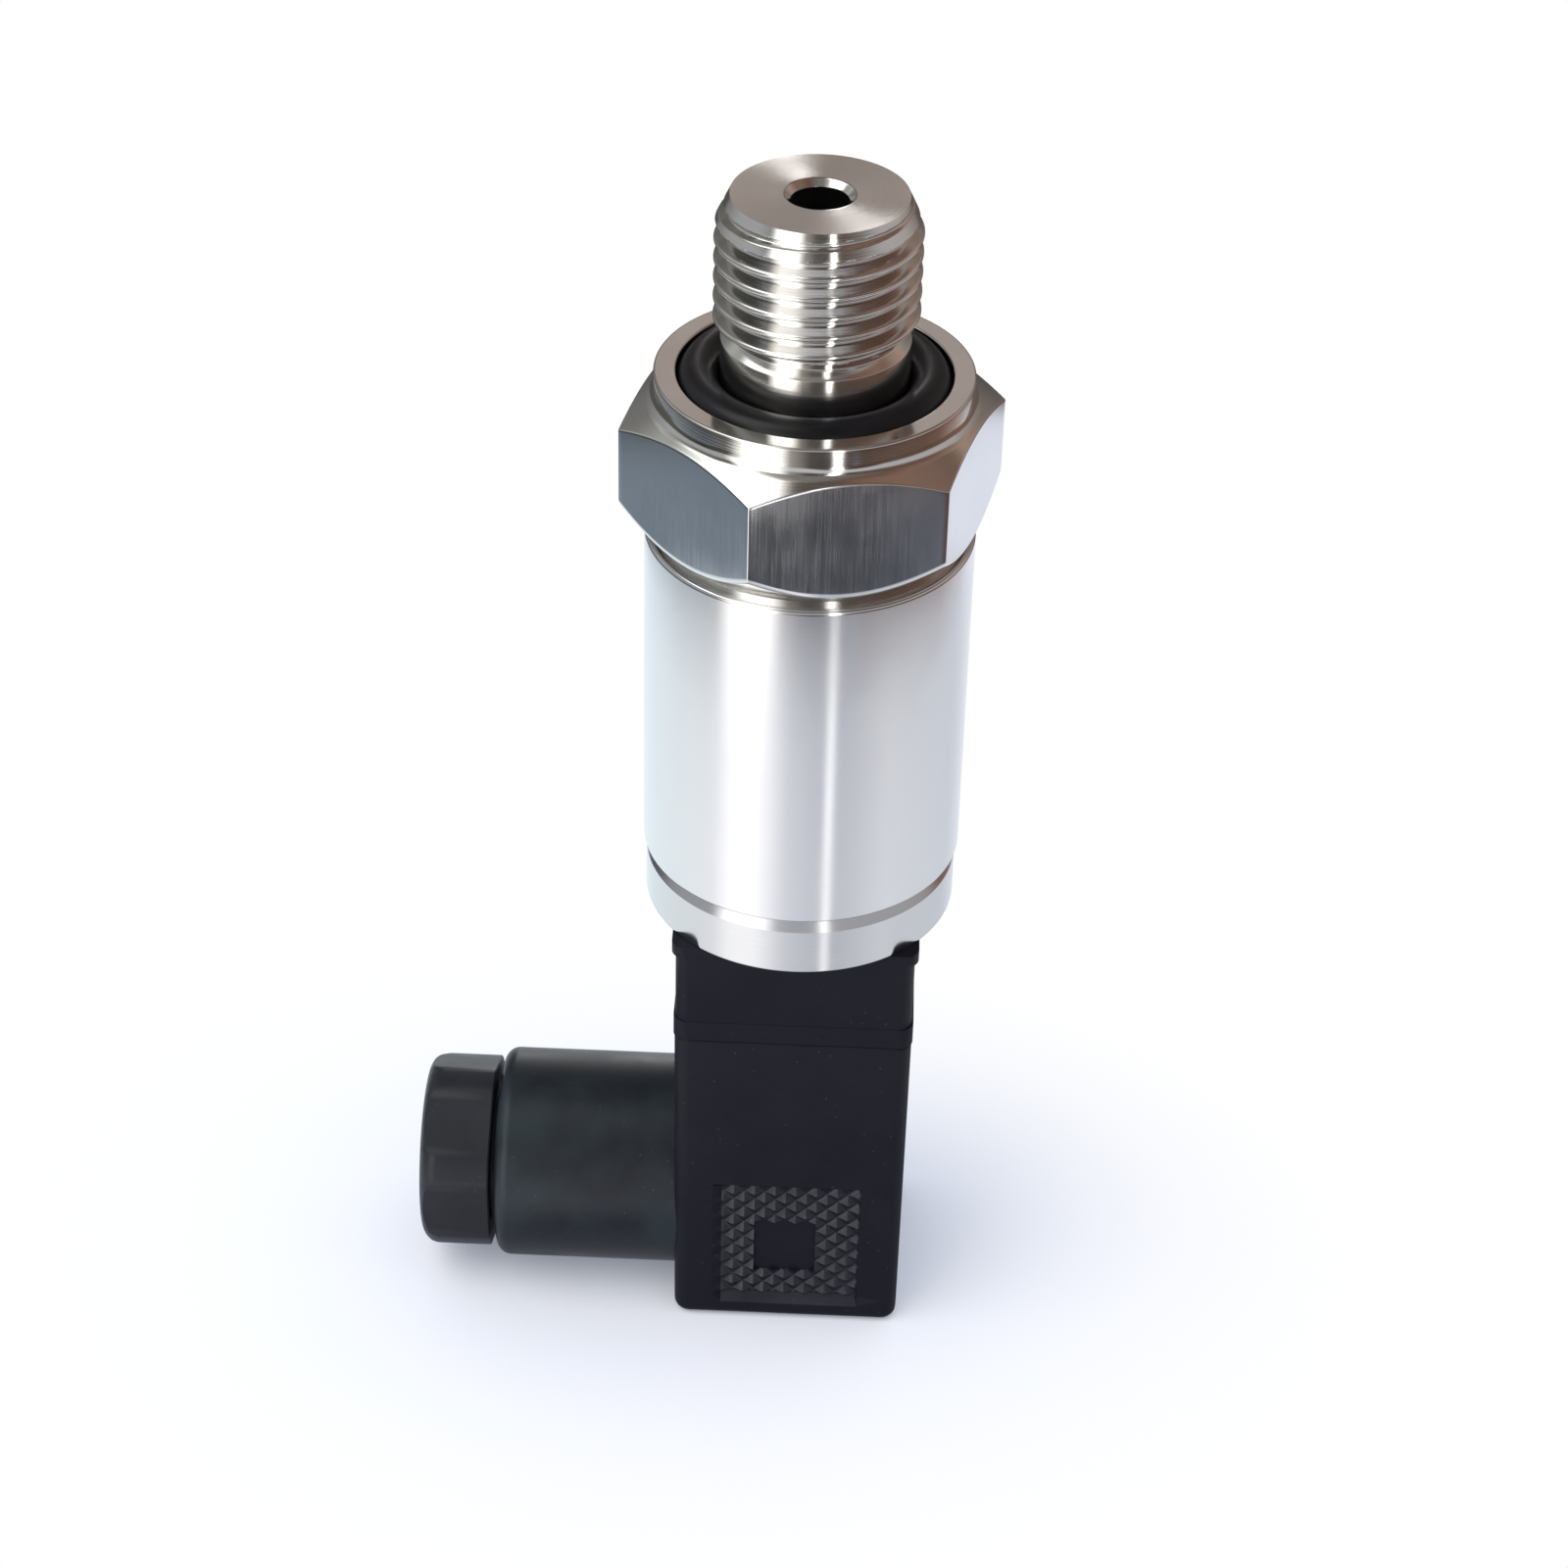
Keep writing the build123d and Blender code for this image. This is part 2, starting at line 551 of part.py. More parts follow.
def contact_blade(angle):
    """Flat blade with a bevelled tip that drops through the base into its socket."""
    blade = slab(BLADE_THICKNESS, BLADE_WIDTH, BLADE_TIP_Z, BLADE_TOP_Z)
    tip_edges = blade.edges().filter_by(Axis.X).sort_by(Axis.Z)[:2]
    return at_contact(angle, chamfer(tip_edges, BLADE_TIP_CHAMFER))


def end_ring():
    """Turned ring that closes the sleeve, with a grooved skirt inside it."""
    outer = RING_DIAMETER / 2
    bore = RING_BORE / 2
    skirt_top = RING_TOP_Z + RING_SKIRT_HEIGHT
    body = turned(
        (bore, RING_Z),
        (outer, RING_Z),
        (outer, RING_TOP_Z - RING_CHAMFER_HEIGHT),
        (outer - RING_CHAMFER_DEPTH, RING_TOP_Z),
        (SKIRT_RADIUS, RING_TOP_Z),
        (SKIRT_RADIUS, skirt_top),
        (bore, skirt_top),
    )
    groove_z = RING_TOP_Z + RING_SEAL_RISE
    half = RING_SEAL_SECTION / 2 + SLIP_CLEARANCE
    return body - tube(RING_GROOVE_RADIUS, SKIRT_RADIUS, groove_z - half, groove_z + half)


def base_o_ring():
    """Seal between the end ring and the sleeve."""
    section = RING_SEAL_SECTION / 2
    return Pos(0, 0, RING_TOP_Z + RING_SEAL_RISE) * Torus(RING_GROOVE_RADIUS + section, section)


def housing_sleeve():
    """Thin steel tube between the end ring and the pressure connection."""
    outer = SLEEVE_DIAMETER / 2
    return turned(
        (SLEEVE_INNER_RADIUS, SLEEVE_Z),
        (outer - SLEEVE_EDGE, SLEEVE_Z),
        (outer, SLEEVE_Z + SLEEVE_EDGE),
        (outer, NECK_Z - SLEEVE_EDGE),
        (outer - SLEEVE_EDGE, NECK_Z),
        (SLEEVE_INNER_RADIUS, NECK_Z),
    )


def hexagon():
    """Spanner hexagon, coned at both ends."""
    corner = HEX_CORNER_RADIUS
    foot = HEX_FOOT_DIAMETER / 2
    top = COLLAR_DIAMETER / 2
    foot_rise = (corner - foot) * tan(radians(HEX_FOOT_ANGLE))
    top_drop = (corner - top) * tan(radians(HEX_TOP_ANGLE))
    cones = turned(
        (0, HEX_Z),
        (foot, HEX_Z),
        (corner, HEX_Z + foot_rise),
        (corner, COLLAR_Z - top_drop),
        (top, COLLAR_Z, COLLAR_FILLET),
        (top, RIM_Z, COLLAR_EDGE),
        (0, RIM_Z),
    )
    return cones & hex_bar(HEX_ACROSS_FLATS, HEX_TURN, HEX_Z, RIM_Z)


def thread_stud():
    """Spigot, undercut and thread blank of the pressure connection."""
    spigot = SPIGOT_DIAMETER / 2
    thread = THREAD_DIAMETER / 2
    return turned(
        (0, SEAL_Z - COLLAR_HEIGHT),
        (spigot, SEAL_Z - COLLAR_HEIGHT),
        (spigot, SPIGOT_TOP_Z),
        (UNDERCUT_RADIUS, UNDERCUT_Z),
        (UNDERCUT_RADIUS, THREAD_Z - THREAD_FOOT_CHAMFER),
        (thread, THREAD_Z),
        (thread, LEAD_IN_Z),
        (LEAD_IN_FACE_DIAMETER / 2, TOP_Z),
        (0, TOP_Z),
    )


def process_connection():
    """One turned piece with the thread, seal recess, hexagon and the skirt inside the sleeve."""
    body = hexagon() + disc(NECK_DIAMETER / 2, NECK_Z, HEX_Z) + disc(SKIRT_RADIUS, SKIRT_Z, NECK_Z)
    body -= disc(SEAL_RECESS_RADIUS, SEAL_Z, RIM_Z)
    body += thread_stud()
    body -= disc(RETAINER_BORE_RADIUS, SKIRT_Z, CAPSULE_Z)
    body -= disc(CAPSULE_BORE_RADIUS, CAPSULE_Z, CHAMBER_ROOF_Z)
    bore = PRESSURE_BORE / 2
    flare = PRESSURE_BORE_CHAMFER
    channel = turned(
        (0, CHAMBER_ROOF_Z), (bore, CHAMBER_ROOF_Z), (bore, TOP_Z - flare), (bore + flare, TOP_Z), (0, TOP_Z)
    )
    return body - channel


def seal_ring():
    """O-ring that seals the connection against the port, lying in the recess."""
    section = SEAL_SECTION / 2
    return Pos(0, 0, SEAL_Z + section) * Torus(SPIGOT_DIAMETER / 2 + SLOT_CLEARANCE + section, section)


def sensing_capsule():
    """Sealed measuring cell with a dished face towards the pressure bore."""
    radius = CAPSULE_DIAMETER / 2
    step = CAPSULE_STEP_DIAMETER / 2
    dish = CAPSULE_DISH_DIAMETER / 2
    step_z = CAPSULE_SEAL_Z - CAPSULE_STEP_HEIGHT
    return turned(
        (0, CAPSULE_Z - SPACER_HEIGHT),
        (step, CAPSULE_Z - SPACER_HEIGHT),
        (step, CAPSULE_Z),
        (radius, CAPSULE_Z),
        (radius, step_z),
        (radius - CAPSULE_DISH_DEPTH, step_z + CAPSULE_DISH_DEPTH),
        (radius - CAPSULE_DISH_DEPTH, CAPSULE_SEAL_Z),
        (dish, CAPSULE_SEAL_Z),
        (dish - CAPSULE_DISH_DEPTH, CAPSULE_SEAL_Z - CAPSULE_DISH_DEPTH),
        (0, CAPSULE_SEAL_Z - CAPSULE_DISH_DEPTH),
    )


def capsule_o_ring():
    """Seal between the measuring cell and the roof of its chamber."""
    section = CAPSULE_SEAL_SECTION / 2
    return Pos(0, 0, CAPSULE_SEAL_Z + section) * Torus(CAPSULE_SEAL_DIAMETER / 2, section)


def capsule_retainer():
    """Threaded ring that presses the capsule home, with slots for a pin spanner."""
    bore = CAPSULE_STEP_DIAMETER / 2 + SLIP_CLEARANCE
    body = tube(bore, RETAINER_DIAMETER / 2, RETAINER_Z, CAPSULE_Z)
    slot_top = RETAINER_Z + RETAINER_SLOT_DEPTH
    return body - slab(RETAINER_DIAMETER, RETAINER_SLOT_WIDTH, RETAINER_Z, slot_top)


def pin_places():
    """Centres of the capsule's pins."""
    return PolarLocations(PIN_CIRCLE_DIAMETER / 2, PIN_COUNT, start_angle=PIN_FIRST_ANGLE)


def sensor_pins():
    """Header pins from the capsule through the sensor board."""
    pin = disc(PIN_DIAMETER / 2, SENSOR_BOARD_Z - PIN_OVERHANG, CAPSULE_Z - SPACER_HEIGHT)
    return joined([place * pin for place in pin_places()])


def board_spacer():
    """Plastic ring that stands the sensor board off the metal skirt."""
    return tube(SPACER_BORE / 2, SKIRT_RADIUS - SLIP_CLEARANCE, SENSOR_BOARD_TOP_Z, SKIRT_Z)


def sensor_board():
    """Round board that the capsule's pins pass through."""
    body = disc(SENSOR_BOARD_RADIUS, SENSOR_BOARD_Z, SENSOR_BOARD_TOP_Z)
    hole = disc(PIN_DIAMETER / 2 + SLOT_CLEARANCE, SENSOR_BOARD_Z, SENSOR_BOARD_TOP_Z)
    for place in pin_places():
        body -= place * hole
    return body


def main_board():
    """Upright board between the base's spigot and the sensor board."""
    return slab(MAIN_BOARD_WIDTH, MAIN_BOARD_THICKNESS, SPIGOT_RIM_Z, SENSOR_BOARD_Z)


def board_components():
    """Chips and capacitors soldered on the two faces of the main board, as shares of its width."""
    middle = (SPIGOT_RIM_Z + SENSOR_BOARD_Z) / 2
    face = MAIN_BOARD_THICKNESS / 2
    chips = [
        (0.0, 0.08, 1, 0.33, 0.06, 0.33),
        (-0.3, 0.12, 1, 0.13, 0.085, 0.2),
        (0.315, 0.025, 1, 0.08, 0.05, 0.13),
        (-0.165, 0.09, -1, 0.26, 0.07, 0.21),
        (0.21, 0.125, -1, 0.16, 0.12, 0.16),
    ]
    parts = []
    for chip in chips:
        side = chip[2]
        x, rise, _, width, height, length = [share * MAIN_BOARD_WIDTH for share in chip]
        y = side * (face + height / 2)
        parts.append(Pos(x, y, middle + rise) * Box(width, height, length))
    return joined(parts)


def lead_wire(angle, pad_x, side):
    """Wire from the tail of a blade to a pad on one face of the main board."""
    start = Rot(0, 0, angle) * Pos(CONTACT_RADIUS, 0, 0)
    x = start.position.X
    y = start.position.Y
    clear = side * (MAIN_BOARD_THICKNESS / 2 + 2 * WIRE_DIAMETER)
    pad_z = SPIGOT_RIM_Z + 2.5 * WIRE_DIAMETER
    out_y = y if abs(y) > abs(clear) else clear
    route = [
        (x, y, BLADE_TOP_Z),
        (x, y, BLADE_TOP_Z + 2 * WIRE_DIAMETER),
        (x, out_y + side * SLIP_CLEARANCE, SPIGOT_RIM_Z),
        (pad_x, out_y, pad_z),
        (pad_x, side * MAIN_BOARD_THICKNESS / 2, pad_z),
    ]
    path = FilletPolyline(*route, radius=WIRE_BEND_RADIUS)
    section = Plane(path @ 0, z_dir=path % 0) * Circle(WIRE_DIAMETER / 2)
    return sweep(section, path=path)


def lead_wires():
    """The four wires inside the sleeve."""
    return joined(
        [
            lead_wire(CONTACT_ANGLES["1"], OUTER_PAD_OFFSET, 1),
            lead_wire(CONTACT_ANGLES["2"], -OUTER_PAD_OFFSET, -1),
            lead_wire(CONTACT_ANGLES["3"], -INNER_PAD_OFFSET, 1),
            lead_wire(CONTACT_ANGLES["earth"], INNER_PAD_OFFSET, -1),
        ]
    )


def main():
    os.makedirs("parts", exist_ok=True)
    nodes = {
        "plug_housing": plug_housing(),
        "contact_carrier": contact_carrier(),
        "terminal_screws": terminal_screws(),
        "cable_grommet": cable_grommet(),
        "gland_washer": gland_washer(),
        "gland_nut": gland_nut(),
        "screw_washer": screw_washer(),
        "fixing_screw": fixing_screw(),
        "face_gasket": face_gasket(),
        "connector_base": connector_base(),
        "screw_insert": screw_insert(),
        "end_ring": end_ring(),
        "base_o_ring": base_o_ring(),
        "housing_sleeve": housing_sleeve(),
        "process_connection": process_connection(),
        "seal_ring": seal_ring(),
        "sensing_capsule": sensing_capsule(),
        "capsule_o_ring": capsule_o_ring(),
        "capsule_retainer": capsule_retainer(),
        "sensor_pins": sensor_pins(),
        "board_spacer": board_spacer(),
        "sensor_board": sensor_board(),
        "main_board": main_board(),
        "board_components": board_components(),
        "lead_wires": lead_wires(),
    }
    for name, angle in CONTACT_ANGLES.items():
        nodes["socket_contact_" + name] = socket_contact(angle)
        nodes["contact_blade_" + name] = contact_blade(angle)
    for name, shape in nodes.items():
        export_step(shape, "parts/" + name + ".step")


main()
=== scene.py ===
import logging
import math
from dataclasses import dataclass, field
from enum import Enum
from typing import Sequence

import bmesh
import bpy
import numpy as np
from mathutils import Matrix, Vector


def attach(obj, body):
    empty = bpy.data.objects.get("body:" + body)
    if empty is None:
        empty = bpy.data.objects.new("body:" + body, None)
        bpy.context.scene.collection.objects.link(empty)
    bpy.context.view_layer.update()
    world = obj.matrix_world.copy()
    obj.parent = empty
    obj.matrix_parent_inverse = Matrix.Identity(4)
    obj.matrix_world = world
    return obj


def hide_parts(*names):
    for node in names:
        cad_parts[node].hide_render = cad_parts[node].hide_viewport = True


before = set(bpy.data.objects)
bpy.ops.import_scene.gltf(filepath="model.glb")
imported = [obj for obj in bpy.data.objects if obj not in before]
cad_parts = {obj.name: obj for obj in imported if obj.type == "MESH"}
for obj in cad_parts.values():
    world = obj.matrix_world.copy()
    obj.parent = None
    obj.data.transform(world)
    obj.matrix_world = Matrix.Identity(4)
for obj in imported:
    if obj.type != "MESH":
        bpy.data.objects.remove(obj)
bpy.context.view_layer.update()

# Dresses the pressure transmitter. Sizes in this file are millimetres unless a name says otherwise,
# and each mesh is put into metres when it is made. The main axis is Z and the gland points along -X.

MM = 0.001
TAU = 2 * math.pi
SIXTH = math.pi / 3
LOG = logging.getLogger("transmitter")

# Distance of a guard row from a rounding, and the nearness at which two places count as one.
GUARD = 0.08
CLOSE = 0.02

# Edges that turn by more than this many degrees stay sharp.
SHARP_DEGREES = 32.0

# Points closer than this are merged and edges shorter than this are removed, in metres.
MERGE_METRES = 1e-7
SLIVER_METRES = 1e-8

Colour = tuple[float, float, float]


# Surfaces on grids


@dataclass(frozen=True)
class Corner:
    """One corner of a profile, which may differ from column to column.

    Args:
        radius: distance from the axis, one value or one for each column.
        height: place along the axis, one value or one for each column.
        rounding: radius of the arc that replaces the corner.
        steps: number of chords in that arc.
    """

    radius: float | np.ndarray
    height: float | np.ndarray
    rounding: float = 0.0
    steps: int = 4


def unit(vectors: np.ndarray) -> tuple[np.ndarray, np.ndarray]:
    """Directions and lengths of an array of vectors, along the last axis."""
    lengths = np.maximum(np.linalg.norm(vectors, axis=-1, keepdims=True), 1e-9)
    return vectors / lengths, lengths


def round_corner(
    before: np.ndarray, here: np.ndarray, after: np.ndarray, corner: Corner
) -> list[np.ndarray]:
    """Rows of points that turn one corner on an arc tangent to both of its sides.

    With half the corner's opening h and rounding r, the arc leaves each side r / tan(h) from the
    corner and its centre lies r / sin(h) along the bisector.

    Args:
        before: previous corner, one point for each column.
        here: this corner.
        after: next corner.
        corner: how it is rounded.

    Returns:
        One array of points for each row.
    """
    if corner.rounding <= 0:
        return [here]
    back, back_length = unit(before - here)
    ahead, ahead_length = unit(after - here)
    half = 0.5 * np.arccos(np.clip((back * ahead).sum(-1, keepdims=True), -0.9999, 0.9999))
    reach = np.minimum(corner.rounding / np.tan(half), 0.49 * np.minimum(back_length, ahead_length))
    radius = reach * np.tan(half)
    bisector, _ = unit(back + ahead)
    centre = here + bisector * radius / np.sin(half)
    start = here + back * reach - centre
    end = here + ahead * reach - centre
    sweep = math.pi - 2 * half
    shares = np.linspace(0, 1, corner.steps + 1)
    weights = [(np.sin((1 - s) * sweep) / np.sin(sweep), np.sin(s * sweep) / np.sin(sweep)) for s in shares]
    return [centre + start * first + end * second for first, second in weights]


def profile_rows(corners: Sequence[Corner], columns: int, closed: bool) -> np.ndarray:
    """Carry a profile of rounded corners across all columns at once.

    A long straight side gets a guard row near each of its rounded ends, so that smooth shading
    stays inside the rounding.

    Args:
        corners: the profile's corners in order.
        columns: number of columns.
        closed: whether the last corner joins the first.

    Returns:
        Array (rows, columns, 2) of radius and height.
    """
    shape = (columns,)
    radii = np.array([np.broadcast_to(corner.radius, shape) for corner in corners], dtype=float)
    heights = np.array([np.broadcast_to(corner.height, shape) for corner in corners], dtype=float)
    points = np.stack([radii, heights], axis=-1)
    count = len(corners)
    groups = []
    for index, corner in enumerate(corners):
        if not closed and index in (0, count - 1):
            groups.append([points[index]])
            continue
        groups.append(round_corner(points[index - 1], points[index], points[(index + 1) % count], corner))
    rows: list[np.ndarray] = []
    for index, group in enumerate(groups):
        rows.extend(group)
        if not closed and index == count - 1:
            break
        following = (index + 1) % count
        start, end = group[-1], groups[following][0]
        direction, length = unit(end - start)
        guard = np.minimum(GUARD, length / 4)
        if corners[index].rounding > 0:
            rows.append(start + direction * guard)
        if corners[following].rounding > 0:
            rows.append(end - direction * guard)
    return np.array(rows)


def around(rows: np.ndarray, angles: np.ndarray) -> np.ndarray:
    """Turn rows of (radius, height) about Z: x = r cos a, y = r sin a, z = height.

    Args:
        rows: array (rows, columns, 2).
        angles: angle of each column.

    Returns:
        Array (rows, columns, 3) in millimetres.
    """
    radius, height = rows[..., 0], rows[..., 1]
    return np.stack([radius * np.cos(angles), radius * np.sin(angles), height], axis=-1)


def grid_quads(rows: int, columns: int, closed_rows: bool, closed_columns: bool) -> np.ndarray:
    """Corner numbers of every quad of a grid, row by row.

    Returns:
        Array (row bands, column bands, 4).
    """
    low = np.arange(rows if closed_rows else rows - 1)[:, None]
    left = np.arange(columns if closed_columns else columns - 1)[None, :]
    high = (low + 1) % rows
    right = (left + 1) % columns
    return np.stack(
        [low * columns + left, low * columns + right, high * columns + right, high * columns + left], axis=-1
    )


def placed(name: str, data: bpy.types.ID) -> bpy.types.Object:
    """New object in the scene that shows some data."""
    piece = bpy.data.objects.new(name, data)
    bpy.context.scene.collection.objects.link(piece)
    return piece


def make_object(
    name: str,
    points: np.ndarray,
    faces: np.ndarray,
    face_slots: np.ndarray | None = None,
    sharp_degrees: float = SHARP_DEGREES,
) -> bpy.types.Object:
    """Put arrays of points and faces into a closed mesh with outward faces.

    Args:
        name: the piece's name.
        points: array (points, 3) in millimetres.
        faces: array (faces, corners) of point numbers.
        face_slots: material slot of each face, if there is more than one.
        sharp_degrees: edges that turn more than this stay sharp.

    Returns:
        The new object, at the origin.
    """
    mesh = bpy.data.meshes.new(name)
    mesh.from_pydata((points * MM).tolist(), [], faces.tolist())
    if face_slots is not None:
        mesh.polygons.foreach_set("material_index", face_slots.astype(np.int32))
    piece = placed(name, mesh)
    clean(mesh, sharp_degrees)
    return piece


def clean(mesh: bpy.types.Mesh, sharp_degrees: float) -> None:
    """Merge doubled points, turn faces outward and set smooth shading between sharp edges."""
    work = bmesh.new()
    work.from_mesh(mesh)
    bmesh.ops.remove_doubles(work, verts=work.verts, dist=MERGE_METRES)
    bmesh.ops.dissolve_degenerate(work, edges=work.edges, dist=SLIVER_METRES)
    bmesh.ops.recalc_face_normals(work, faces=work.faces)
    work.to_mesh(mesh)
    work.free()
    mesh.polygons.foreach_set("use_smooth", np.ones(len(mesh.polygons), dtype=bool))
    mesh.set_sharp_from_angle(angle=math.radians(sharp_degrees))
    mesh.update()


def turned_object(
    name: str, rows: np.ndarray, angles: np.ndarray, closed: bool = True, row_slots: np.ndarray | None = None
) -> bpy.types.Object:
    """Object made by turning rows of (radius, height) about Z, with a slot for each row band."""
    points = around(rows, angles)
    quads = grid_quads(points.shape[0], points.shape[1], closed, True)
    slots = None if row_slots is None else np.repeat(row_slots[: quads.shape[0]], quads.shape[1])
    return make_object(name, points.reshape(-1, 3), quads.reshape(-1, 4), slots)


def even_angles(count: int) -> np.ndarray:
    """Evenly spaced angles round the axis."""
    return np.arange(count) * TAU / count


def lathe(name: str, corners: Sequence[Corner], count: int, closed: bool = True) -> bpy.types.Object:
    """Turned piece from one profile."""
    return turned_object(name, profile_rows(corners, count, closed), even_angles(count), closed)


def corner_half_angle(apothem: float, rounding: float) -> float:
    """Angle from a hexagon's corner to the place where its arc meets the flat.

    The arc's centre lies (apothem - rounding) / cos 30 out, and the arc ends straight out from it on
    the flat, at the angle whose tangent is (apothem - rounding) tan 30 / apothem from the normal.
    """
    return SIXTH / 2 - math.atan((apothem - rounding) * math.tan(SIXTH / 2) / apothem)


def hexagon_radius(angles: np.ndarray, apothem: float, turn: float, rounding: float) -> np.ndarray:
    """Distance from the axis to a hexagon with rounded corners.

    A flat lies at apothem / cos(angle from its normal). Near a corner the outline is an arc whose
    centre lies (apothem - rounding) / cos 30 out along the corner.

    Args:
        angles: angle of each column.
        apothem: half the width across flats.
        turn: angle of one corner.
        rounding: radius of the corner's arc.

    Returns:
        The distance in each column.
    """
    off_corner = (angles - turn + SIXTH / 2) % SIXTH - SIXTH / 2
    flat = apothem / np.cos(SIXTH / 2 - np.abs(off_corner))
    centre = (apothem - rounding) / math.cos(SIXTH / 2)
    within = np.maximum(rounding**2 - (centre * np.sin(off_corner)) ** 2, 0)
    arc = centre * np.cos(off_corner) + np.sqrt(within)
    return np.where(np.abs(off_corner) < corner_half_angle(apothem, rounding), arc, flat)


def sector_angles(breaks: Sequence[float], counts: Sequence[int], turn: float) -> np.ndarray:
    """Angles that divide each sixth of a turn at the same breaks.

    Args:
        breaks: angles within the sector, from 0 to a sixth of a turn.
        counts: number of columns in each stretch between breaks.
        turn: angle at which the first sector starts.

    Returns:
        The angles of all columns, six sectors round.
    """
    stretches = [np.linspace(a, b, n, endpoint=False) for a, b, n in zip(breaks, breaks[1:], counts)]
    sector = np.concatenate(stretches)
    return (np.arange(6)[:, None] * SIXTH + sector[None, :] + turn).ravel()


@dataclass(frozen=True)
class ThreadForm:
    """Rounded screw thread.

    Args:
        pitch: distance between crests.
        half_angle: half the angle between flanks, in degrees.
        rounding: radius of crest and root.
    """

    pitch: float
    half_angle: float
    rounding: float

    def depth_at(self, along: np.ndarray) -> np.ndarray:
        """Depth below the crest at a distance along the axis from a crest's centre.

        The crest and the root are arcs, joined by a straight flank that falls 1 / tan(half angle).

        Args:
            along: distance along the axis from a crest.

        Returns:
            The depth at each place.
        """
        angle = math.radians(self.half_angle)
        offset = np.abs((along / self.pitch + 0.5) % 1 - 0.5) * self.pitch
        arc_end = self.rounding * math.cos(angle)
        half = self.pitch / 2
        arc_drop = self.rounding * (1 - math.sin(angle))
        full = 2 * arc_drop + (half - 2 * arc_end) / math.tan(angle)
        crest = self.rounding - np.sqrt(np.maximum(self.rounding**2 - offset**2, 0))
        root = full - self.rounding + np.sqrt(np.maximum(self.rounding**2 - (half - offset) ** 2, 0))
        flank = arc_drop + (offset - arc_end) / math.tan(angle)
        return np.where(offset < arc_end, crest, np.where(offset > half - arc_end, root, flank))

    def radius_on(self, crest_radius: float, heights: np.ndarray, angles: np.ndarray) -> np.ndarray:
        """Radius of a right-hand thread at each height and angle: the crest climbs a pitch in a turn."""
        along = heights[:, None] - self.pitch * angles[None, :] / TAU
        return crest_radius - self.depth_at(along)


def threaded_rows(
    form: ThreadForm, crest_radius: float, heights: np.ndarray, angles: np.ndarray, envelope: np.ndarray
) -> np.ndarray:
    """Rows of a threaded stretch, cut back to an envelope radius at each height."""
    radius = np.minimum(form.radius_on(crest_radius, heights, angles), envelope[:, None])
    return np.stack([radius, np.broadcast_to(heights[:, None], radius.shape)], axis=-1)


def cut(piece: bpy.types.Object, tools: Sequence[bpy.types.Object], operation: str) -> None:
    """Join or cut a piece with closed tools, keep the result as its mesh and drop the tools."""
    for tool in tools:
        modifier = piece.modifiers.new("cut", "BOOLEAN")
        modifier.operation = operation
        modifier.solver = "EXACT"
        modifier.object = tool
        graph = bpy.context.evaluated_depsgraph_get()
        result = bpy.data.meshes.new_from_object(piece.evaluated_get(graph))
        piece.modifiers.remove(modifier)
        old = piece.data
        piece.data = result
        result.name = piece.name
        bpy.data.meshes.remove(old)
        bpy.data.objects.remove(tool)


def on_gland(piece: bpy.types.Object, height: float) -> bpy.types.Object:
    """Lay a piece built up +Z along -X, at the height of the gland's axis."""
    lay = Matrix.Translation((0, 0, height * MM)) @ Matrix.Rotation(math.radians(-90), 4, "Y")
    piece.data.transform(lay)
    piece.data.update()
    return piece


def softened_copy(node: str, width: float, sharp_degrees: float = 35.0) -> bpy.types.Object:
    """Copy of a CAD node with its points merged and its edges broken by a small bevel."""
    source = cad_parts[node]
    piece = placed("dressed_" + node, source.data.copy())
    clean(piece.data, sharp_degrees)
    bevel = piece.modifiers.new("edge", "BEVEL")
    bevel.width = width * MM
    bevel.segments = 2
    bevel.limit_method = "ANGLE"
    bevel.angle_limit = math.radians(sharp_degrees)
    bevel.harden_normals = True
    return piece


# Shader helpers


